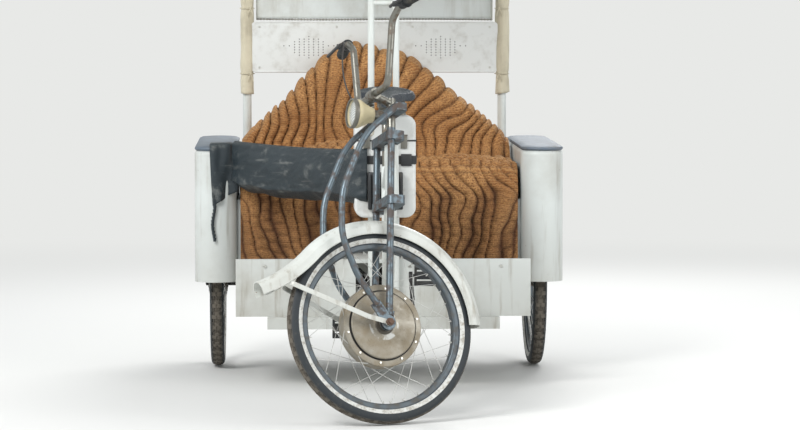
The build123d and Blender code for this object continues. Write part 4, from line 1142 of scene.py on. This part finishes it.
# %% Rear flap
FLAP_HALF = 0.437
FLAP_LOW_Z = 1.262
FLAP_DEEP = 0.518
FLAP_Y = AXLE_Y + 0.2105
BEAD_PITCH = 0.0115
flap_mesh = cloth_grid(80, 44)
for vert in flap_mesh.verts:
    x = vert.co.x * FLAP_HALF
    z = FLAP_LOW_Z + FLAP_DEEP * (vert.co.y + 1.0) / 2
    hang = (FLAP_LOW_Z + FLAP_DEEP - z) / FLAP_DEEP
    wave = 0.0028 * math.sin(13.0 * x + 2.5 * hang) * hang
    wave += 0.003 * lumps(x * 5.0, z * 4.0, 6.0)
    vert.co = (x, FLAP_Y + wave, z)
flap = cloth_piece(flap_mesh, "rear_rain_flap", canopy_cloth, 0.0018, ["rear_flap"])
flap_beads = bmesh.new()
for number in range(int(2 * FLAP_HALF / BEAD_PITCH)):
    x = -FLAP_HALF + BEAD_PITCH * (number + 0.5)
    y = FLAP_Y + 0.0028 * math.sin(13.0 * x + 2.5)
    z = 1.2595 + 0.0012 * math.sin(9.0 * x)
    bar_between(flap_beads, (x - 0.0056, y, z), (x, y, z), 0.0021, 8, 0.0034)
    bar_between(flap_beads, (x, y, z), (x + 0.0056, y, z), 0.0034, 8, 0.0021)
finished(flap_beads, "flap_beaded_cord", bar_steel, sharp=60.0)

# %% [markdown]
# The side curtains are rolled round the rear posts and tied. A rolled curtain is a spiral in plan,
# so each is an open sheet wound one and a half turns, drawn in where the ties squeeze it and
# lumpy between them. The ties are thin cords with two loose tails.

# %% Rolled curtains
tie_heights = (1.060, 1.300, 1.540, 1.735)
TIE_R = 0.0262
TIE_STEPS = 24
POST_X = 0.470
CURTAIN_LOW_Z = 0.987
CURTAIN_DEEP = 0.789
WINDINGS = 1.55
ties = bmesh.new()
for side, word in ((-1, "right"), (1, "left")):
    post = Vector((side * POST_X, AXLE_Y + 0.190, 0.0))
    roll = cloth_grid(72, 110)
    for vert in roll.verts:
        turn = (vert.co.x + 1.0) / 2
        z = CURTAIN_LOW_Z + CURTAIN_DEEP * (vert.co.y + 1.0) / 2
        squeeze = sum(math.exp(-((z - height) / 0.014) ** 2) for height in tie_heights)
        bag = 0.0018 * lumps(turn * 5.0, z * 16.0, side * 3.0)
        folds = 0.0016 * math.sin(turn * 31.0 + 3.0 * lumps(z * 6.0, side, 2.0))
        radius = 0.0192 + 0.0078 * turn + (bag + folds) * (0.4 + turn) - 0.0040 * min(1.0, squeeze) * turn
        angle = side * (2 * math.pi * WINDINGS * turn) - 2.1
        vert.co = post + Vector((radius * math.cos(angle), radius * math.sin(angle), z))
        vert.co.z += 0.006 * turn * math.sin(9.0 * turn) * (1.0 if z < 1.0 else 0.0)
    rolled = cloth_piece(roll, word + "_rolled_curtain", curtain_cloth, 0.0014,
                         ["rolled_curtains"] if side < 0 else ())
    for height in tie_heights:
        ring = []
        for step in range(TIE_STEPS + 1):
            angle = 2 * math.pi * step / TIE_STEPS
            lift = height + 0.002 * math.sin(angle)
            ring.append(post + Vector((TIE_R * math.cos(angle), TIE_R * math.sin(angle), lift)))
        cord_along(ties, ring, 0.0016, 6)
        knot = post + Vector((-side * 0.012, -0.0268, height))
        bmesh.ops.create_icosphere(ties, subdivisions=1, radius=0.0042, matrix=Matrix.Translation(knot))
        for lean in (-0.006, 0.007):
            tail = [knot, knot + Vector((lean, -0.003, -0.014)), knot + Vector((lean * 1.6, -0.001, -0.030))]
            cord_along(ties, tail, 0.0015, 6)
finished(ties, "curtain_ties", curtain_cloth, sharp=60.0)

# %% [markdown]
# The rear board is a moulded tray with two panels of drilled holes for the sound. A drilled hole is
# seen as a dark disc, so each is a shallow tapered one. Two round beads edge the board.

# %% Rear board details
BOARD_Y = AXLE_Y + 0.175
HOLES_Z = 1.157
HOLE_STEP_X, HOLE_STEP_Z = 0.0175, 0.0098
hole_finish = Finish("hole_shadow", screen(26, 28, 28), 0.9)
hole_shade = hole_finish.mix(hole_finish.noise(300.0), screen(20, 22, 22), screen(52, 50, 46))
hole_finish.set("Base Color", hole_shade)
holes = bmesh.new()
hole_columns = [5, 7, 7, 9, 7, 7, 5]
for middle in (-0.243, 0.243):
    spots = []
    for column, count in enumerate(hole_columns):
        for row in range(count):
            z = HOLES_Z + HOLE_STEP_Z * (row - (count - 1) / 2)
            spots.append((middle + HOLE_STEP_X * (column - 3), z))
    spots += [(middle + side * reach, 1.162) for side in (-1, 1) for reach in (0.072, 0.092)]
    for x, z in spots:
        place = Matrix.Translation((x, BOARD_Y - 0.0003, z)) @ Matrix.Rotation(math.pi / 2, 4, "X")
        bmesh.ops.create_cone(holes, cap_ends=True, segments=8, radius1=0.0021, radius2=0.0017,
                              depth=0.0006, matrix=place)
finished(holes, "board_sound_holes", hole_finish, sharp=30.0)
board_lip = bmesh.new()
for z, radius in ((1.0665, 0.0035), (1.2485, 0.0028)):
    bar_between(board_lip, (-0.440, BOARD_Y + 0.0005, z), (0.440, BOARD_Y + 0.0005, z), radius, 10)
finished(board_lip, "board_edge_beads", case_plastic)
board_screws = bmesh.new()
for x in (-0.425, -0.14, 0.14, 0.425):
    for z in (1.083, 1.232):
        add_screw(board_screws, (x, BOARD_Y, z), (0.0, -1.0, 0.0), 0.0045, 0.0022)
finished(board_screws, "board_screws", screw_metal, sharp=35.0)

# %% [markdown]
# Spokes stay brighter than the rim they pull on, because they are stainless wire and the rim is
# dull with brake dust. Rim and spokes are one CAD piece, so the distance from the hub decides which
# of the two tones a point gets.

# %% Wheels
def wheel_metal(name, hub):
    """Bright spokes inside a dusty grey rim."""
    metal = Finish(name, screen(120, 124, 126), 0.42, 0.9)
    from_hub = metal.node("VectorMath", {"operation": "SUBTRACT"}, {0: metal.place(), 1: tuple(hub)})
    radius = metal.node("VectorMath", {"operation": "LENGTH"}, {0: from_hub}, output="Value")
    outer = radius.step(0.2375, 0.2400)
    dust = metal.noise(38.0, 5.0, 0.65).step(0.42, 0.75)
    wire = metal.mix(dust * 0.35, screen(198, 199, 196), screen(132, 122, 106))
    band = metal.mix(dust * 0.7, screen(88, 95, 100), screen(92, 84, 72))
    metal.set("Base Color", metal.mix(outer, wire, band))
    metal.set("Metallic", 0.9 - dust * 0.6)
    metal.set("Roughness", dust * 0.3 + outer * 0.12 + 0.34)
    metal.bump(metal.noise(300.0, 3.0), 0.0003, 0.4)
    return metal


dress(wheel_metal("front_wheel_metal", joints["front_wheel_spin"]["pos_m"]), "front_rim")
for side in ("right", "left"):
    dress(wheel_metal(side + "_wheel_metal", joints[side + "_rear_wheel_spin"]["pos_m"]), side + "_rear_rim")
print("spokes bright, rims dull")

# %% [markdown]
# The bench is padded vinyl, quilted in diamonds. Each cushion starts as a cube with many cuts. Its
# points are pushed towards a rounded box, the faces are crowned, and two slanting families of seams
# press the diamonds in.

# %% Bench cushions
QUILT_PITCH = 0.11
QUILT_DEPTH = 0.007
BENCH_CUTS = 58
BACK_EDGE = [(0.0, 1.116), (0.06, 1.109), (0.12, 1.088), (0.20, 1.020), (0.30, 0.940), (0.484, 0.796),
             (0.5, 0.79)]


def quilt(first, second):
    """Height of a diamond-quilted face, 0 at the seams and QUILT_DEPTH in the middle of a diamond."""
    a = abs(math.sin(math.pi * (first + second) / QUILT_PITCH))
    b = abs(math.sin(math.pi * (first - second) / QUILT_PITCH))
    return QUILT_DEPTH * (min(a, b) * (2.0 - min(a, b))) ** 0.7


def padded_box(low, high, shape):
    """A rounded box, each point placed by shape(middle, half, a, b, c), where a, b and c run -1 to 1."""
    made = bmesh.new()
    bmesh.ops.create_cube(made, size=2.0)
    bmesh.ops.subdivide_edges(made, edges=made.edges[:], cuts=BENCH_CUTS, use_grid_fill=True)
    middle = (Vector(low) + Vector(high)) / 2
    half = (Vector(high) - Vector(low)) / 2
    for vert in made.verts:
        a, b, c = vert.co
        length = (abs(a) ** 9 + abs(b) ** 9 + abs(c) ** 9) ** (1.0 / 9)
        a, b, c = a / length, b / length, c / length
        vert.co = shape(middle, half, a, b, c)
    return made


def bench_seat(middle, half, a, b, c):
    """The seat: quilted and crowned on top, with a lowered front edge."""
    x, y, z = half.x * a, half.y * b, half.z * c
    if c > 0.6:
        z += quilt(x, y) + 0.006 * (1.0 - a * a) * (1.0 - b * b) - 0.016
    if c > 0.3:
        z -= 0.022 * max(0.0, -b - 0.75) / 0.25
    return middle + Vector((x, y, z))


seat_low, seat_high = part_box("seat_cushion")
seat = finished(padded_box(seat_low, seat_high, bench_seat), "quilted_seat", green_vinyl,
                stands_for=["seat_cushion"], sharp=80.0)


def bench_back(middle, half, a, b, c):
    """The back rest: quilted and swollen in front, under a rounded upper edge."""
    x, y = half.x * a, middle.y + half.y * b
    up = (c + 1.0) / 2
    foot = middle.z - half.z
    z = foot + (between(BACK_EDGE, abs(x)) - foot) * up
    if b < -0.6:
        y -= quilt(x, z) + 0.010 * (1.0 - a * a) * math.sin(math.pi * up) - 0.018
    return Vector((x, y, z))


back_low, back_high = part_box("back_cushion")
back_pad = finished(padded_box(back_low, back_high, bench_back), "quilted_back", green_vinyl,
                    stands_for=["back_cushion"], sharp=80.0)

# %% [markdown]
# The battery sits in a white moulded case under the rider. It gets what makes a case read as one: a
# lid line, two latches, a strap, a patch of torn bare film on its corner, and in front of it a
# small finned controller.

# %% Battery case details
CASE_FRONT_Y = AXLE_Y - 0.965
CASE_REAR_Y = CASE_FRONT_Y + 0.150
CASE_HALF = 0.102
LID_Z = 0.846
STRAP_HALF = 0.1045
STRAP_Z = (0.768, 0.796)
lid_line = bmesh.new()
bar_between(lid_line, (-CASE_HALF, CASE_FRONT_Y, LID_Z), (CASE_HALF, CASE_FRONT_Y, LID_Z), 0.0026)
for x in (-CASE_HALF, CASE_HALF):
    bar_between(lid_line, (x, CASE_FRONT_Y, LID_Z), (x, CASE_REAR_Y, LID_Z), 0.0026)
finished(lid_line, "case_lid_line", grip_rubber)


def chamfered_box(made, low, high, width):
    """Add a box with bevelled edges."""
    size = Vector(high) - Vector(low)
    scale = Matrix.Diagonal((size.x, size.y, size.z, 1.0))
    place = Matrix.Translation((Vector(low) + Vector(high)) / 2) @ scale
    verts = bmesh.ops.create_cube(made, size=1.0, matrix=place)["verts"]
    edges = list({edge for vert in verts for edge in vert.link_edges})
    bmesh.ops.bevel(made, geom=edges, offset=width, segments=2, profile=0.5, affect="EDGES", material=-1)


latches = bmesh.new()
for x in (-0.062, 0.062):
    chamfered_box(latches, (x - 0.011, CASE_FRONT_Y - 0.007, LID_Z - 0.026),
                  (x + 0.011, CASE_FRONT_Y + 0.001, LID_Z + 0.016), 0.0018)
    hinge = Vector((x, CASE_FRONT_Y - 0.005, LID_Z + 0.018))
    half_pin = Vector((0.012, 0.0, 0.0))
    bar_between(latches, hinge - half_pin, hinge + half_pin, 0.0024)
finished(latches, "case_latches", bar_steel)
strap = bmesh.new()
chamfered_box(strap, (-STRAP_HALF, CASE_FRONT_Y - 0.0022, STRAP_Z[0]),
              (STRAP_HALF, CASE_FRONT_Y + 0.0005, STRAP_Z[1]), 0.0008)
for side in (-1, 1):
    inner, outer = sorted((side * 0.1022, side * STRAP_HALF))
    chamfered_box(strap, (inner, CASE_FRONT_Y - 0.002, STRAP_Z[0]), (outer, CASE_REAR_Y, STRAP_Z[1]), 0.0008)
chamfered_box(strap, (0.052, CASE_FRONT_Y - 0.0065, 0.762), (0.088, CASE_FRONT_Y - 0.0015, 0.802), 0.0018)
finished(strap, "case_strap", black_plastic)
film = Finish("torn_film", screen(198, 194, 180), 0.5)
stained = film.noise(60.0, 5.0, 0.7).step(0.4, 0.6)
film.set("Base Color", film.mix(stained, screen(206, 204, 194), screen(158, 148, 128)))
film.bump(film.noise(120.0, 4.0), 0.0008, 0.6)
PATCH_POINTS = 26
patch = bmesh.new()
torn_edge = []
for step in range(PATCH_POINTS):
    angle = 2 * math.pi * step / PATCH_POINTS
    reach = 0.027 + 0.008 * lumps(math.cos(angle) * 2.2, math.sin(angle) * 2.2, 5.0)
    x, z = -0.056 + reach * math.cos(angle) * 0.8, 0.884 + reach * math.sin(angle)
    torn_edge.append(patch.verts.new((x, CASE_FRONT_Y - 0.0006, z)))
patch.faces.new(torn_edge)
bmesh.ops.inset_individual(patch, faces=patch.faces[:], thickness=0.003, depth=0.0004)
finished(patch, "case_torn_film", film, outwards=False)
controller = bmesh.new()
chamfered_box(controller, (-0.058, CASE_FRONT_Y - 0.034, 0.618), (0.058, CASE_FRONT_Y - 0.002, 0.742), 0.004)
for fin in range(11):
    x = -0.050 + 0.010 * fin
    chamfered_box(controller, (x - 0.0018, CASE_FRONT_Y - 0.042, 0.624),
                  (x + 0.0018, CASE_FRONT_Y - 0.033, 0.736), 0.0007)
finished(controller, "motor_controller", black_plastic)

# %% [markdown]
# Small parts that a hand would find: slate rubber caps on the wheel housings, lamp bezels, ribbed
# rings on the grips, coil springs under the saddle and bolts in the panels. Each is made of bars,
# rings, screws or one spun outline.

# %% Housing caps
CAP_PROFILE = ((0.004, -0.001), (0.000, 0.004), (0.002, 0.010), (0.012, 0.014), (0.030, 0.0155))
CAP_POINTS = 64
CAP_R = 0.0755
CAP_END_Y = 0.325
CAP_FRONT_Z = 0.795
CAP_SLOPE = 0.017 / 0.800
slate = moulded("slate_rubber", screen(92, 104, 116), 0.55, 0.4, 500.0)
caps = bmesh.new()
for side in (-1, 1):
    rows = []
    for inset, lift in CAP_PROFILE:
        ring = []
        for step in range(CAP_POINTS):
            angle = 2 * math.pi * step / CAP_POINTS
            radius = CAP_R - inset
            end = CAP_END_Y if math.sin(angle) > 0.0 else -CAP_END_Y
            y = end + radius * math.sin(angle)
            z = CAP_FRONT_Z + CAP_SLOPE * (y + 0.400)
            ring.append(caps.verts.new((side * SHELL_X + radius * math.cos(angle), AXLE_Y + y, z + lift)))
        rows.append(ring)
    for lower, upper in zip(rows, rows[1:]):
        edges = [caps.edges.get((a, b)) or caps.edges.new((a, b))
                 for ring in (lower, upper) for a, b in zip(ring, ring[1:] + ring[:1])]
        bmesh.ops.bridge_loops(caps, edges=edges)
    caps.faces.new(rows[-1])
    caps.faces.new(list(reversed(rows[0])))
finished(caps, "housing_caps", slate)

# %% Lamp bezels
TAIL_LAMP_Z = 0.560
bezel_line = [(0.0, 0.034), (0.004, 0.0365), (0.013, 0.0365), (0.0168, 0.0345), (0.0168, 0.0326),
              (0.0, 0.0325)]
for side, word in ((-1, "right"), (1, "left")):
    middle = Matrix.Translation((side * SHELL_X, AXLE_Y + 0.400, TAIL_LAMP_Z))
    place = middle @ Matrix.Rotation(math.radians(90.0), 4, "Z")
    finished(turned(bezel_line, 36, closed=True), word + "_lamp_bezel", black_plastic,
             place=place, sharp=35.0)
lens_ribs = bmesh.new()
for side in (-1, 1):
    for rib in range(7):
        centre = Vector((side * SHELL_X, AXLE_Y + 0.4164, 0.536 + 0.008 * rib))
        reach = Vector((math.sqrt(0.0305 ** 2 - (centre.z - TAIL_LAMP_Z) ** 2), 0.0, 0.0))
        bar_between(lens_ribs, centre - reach, centre + reach, 0.0016, 6)
finished(lens_ribs, "lamp_lens_ribs", red_lens)

# %% Grip ribs and lever clamps
grip_ribs = bmesh.new()
clamp_screws = bmesh.new()
for side in (-1, 1):
    outer_end = Vector((side * 0.372, -0.020, 0.985))
    inward = (Vector((side * 0.222, -0.056, 0.973)) - outer_end).normalized()
    for rib in range(15):
        start = outer_end + inward * (0.006 + 0.0075 * rib)
        bar_between(grip_ribs, start, start + inward * 0.0042, 0.0174, 20)
    flange = outer_end + inward * 0.1175
    bar_between(grip_ribs, flange, flange + inward * 0.0045, 0.0205, 24)
    clamp = outer_end + inward * 0.136
    add_screw(clamp_screws, clamp + Vector((0.0, 0.0, 0.0178)), (0.0, 0.0, 1.0), 0.0042, 0.0035)
    add_screw(clamp_screws, clamp + Vector((0.0, -0.0178, 0.0)), (0.0, -1.0, 0.0), 0.0042, 0.0035)
finished(grip_ribs, "grip_ribs", grip_rubber, "steering", place=steered)
finished(clamp_screws, "lever_clamp_screws", screw_metal, "steering", place=steered,
         sharp=35.0)

# %% Saddle springs
SPRING_X = 0.052
SPRING_Y = AXLE_Y - 0.912
COILS = 5
COIL_R = 0.0155
COIL_PITCH = 0.0085
COIL_STEPS = 16
springs = bmesh.new()
for side in (-1, 1):
    foot = Vector((side * SPRING_X, SPRING_Y, 0.931))
    for coil in range(COILS):
        ring = []
        for step in range(COIL_STEPS + 1):
            angle = 2 * math.pi * step / COIL_STEPS
            rise = 0.007 + COIL_PITCH * (coil + step / COIL_STEPS)
            ring.append(foot + Vector((COIL_R * math.cos(angle), COIL_R * math.sin(angle), rise)))
        cord_along(springs, ring, 0.0023, 6)
    bar_between(springs, foot, foot + Vector((0.0, 0.0, 0.006)), 0.019, 18)
finished(springs, "saddle_springs", bar_steel)

# %% Panel bolts
bolts = bmesh.new()
for side in (-1, 1):
    for x in (0.09, 0.24, 0.40):
        add_screw(bolts, (side * x, AXLE_Y - 0.7805, 0.415), (0.0, -1.0, 0.0), 0.0055, 0.0030)
        add_screw(bolts, (side * x, AXLE_Y + 0.1705, 0.690), (0.0, 1.0, 0.0), 0.0055, 0.0030)
finished(bolts, "panel_bolts", screw_metal, sharp=35.0)

# %% [markdown]
# The mudguard's skirts end in a rolled bead, which stiffens a thin sheet and gives it its bright
# lower line. The bead follows the flare at the guard's front, whose centre lies outside, and then
# the round part over the wheel. Two screws on each side hold the flat stays.

# %% Mudguard beads
GUARD_HEM_R = 0.2898
GUARD_FRONT, GUARD_REAR = 42.0, 176.0
FLARE_AXIS_R = 0.786
BEADED_FLARE = 21.0
BEAD_X = 0.0335


def guard_direction(degrees):
    """From the axle, 0 straight ahead and 90 straight up."""
    angle = math.radians(degrees)
    return Vector((0.0, -math.cos(angle), math.sin(angle)))


guard_beads = bmesh.new()
for side in (-1, 1):
    edge = Vector((side * BEAD_X, 0.0, 0.0))
    flare_axis = edge + FLARE_AXIS_R * guard_direction(GUARD_FRONT)
    line = []
    for step in range(12):
        turned_by = BEADED_FLARE * (1.0 - step / 12)
        line.append(flare_axis - (FLARE_AXIS_R - GUARD_HEM_R) * guard_direction(GUARD_FRONT + turned_by))
    for step in range(61):
        degrees = GUARD_FRONT + (GUARD_REAR - GUARD_FRONT) * step / 60
        line.append(edge + GUARD_HEM_R * guard_direction(degrees))
    cord_along(guard_beads, line, 0.0028)
finished(guard_beads, "guard_edge_beads", guard_paint, "steering", place=front_wheel,
         sharp=60.0)
guard_screws = bmesh.new()
for side in (-1, 1):
    for reach in (0.318, 0.306):
        centre = Vector((side * 0.0362, 0.0, 0.0)) + reach * guard_direction(20.0)
        add_screw(guard_screws, centre, (side, 0.0, 0.0), 0.0042, 0.0028)
finished(guard_screws, "guard_stay_screws", screw_metal, "steering", place=front_wheel,
         sharp=35.0)
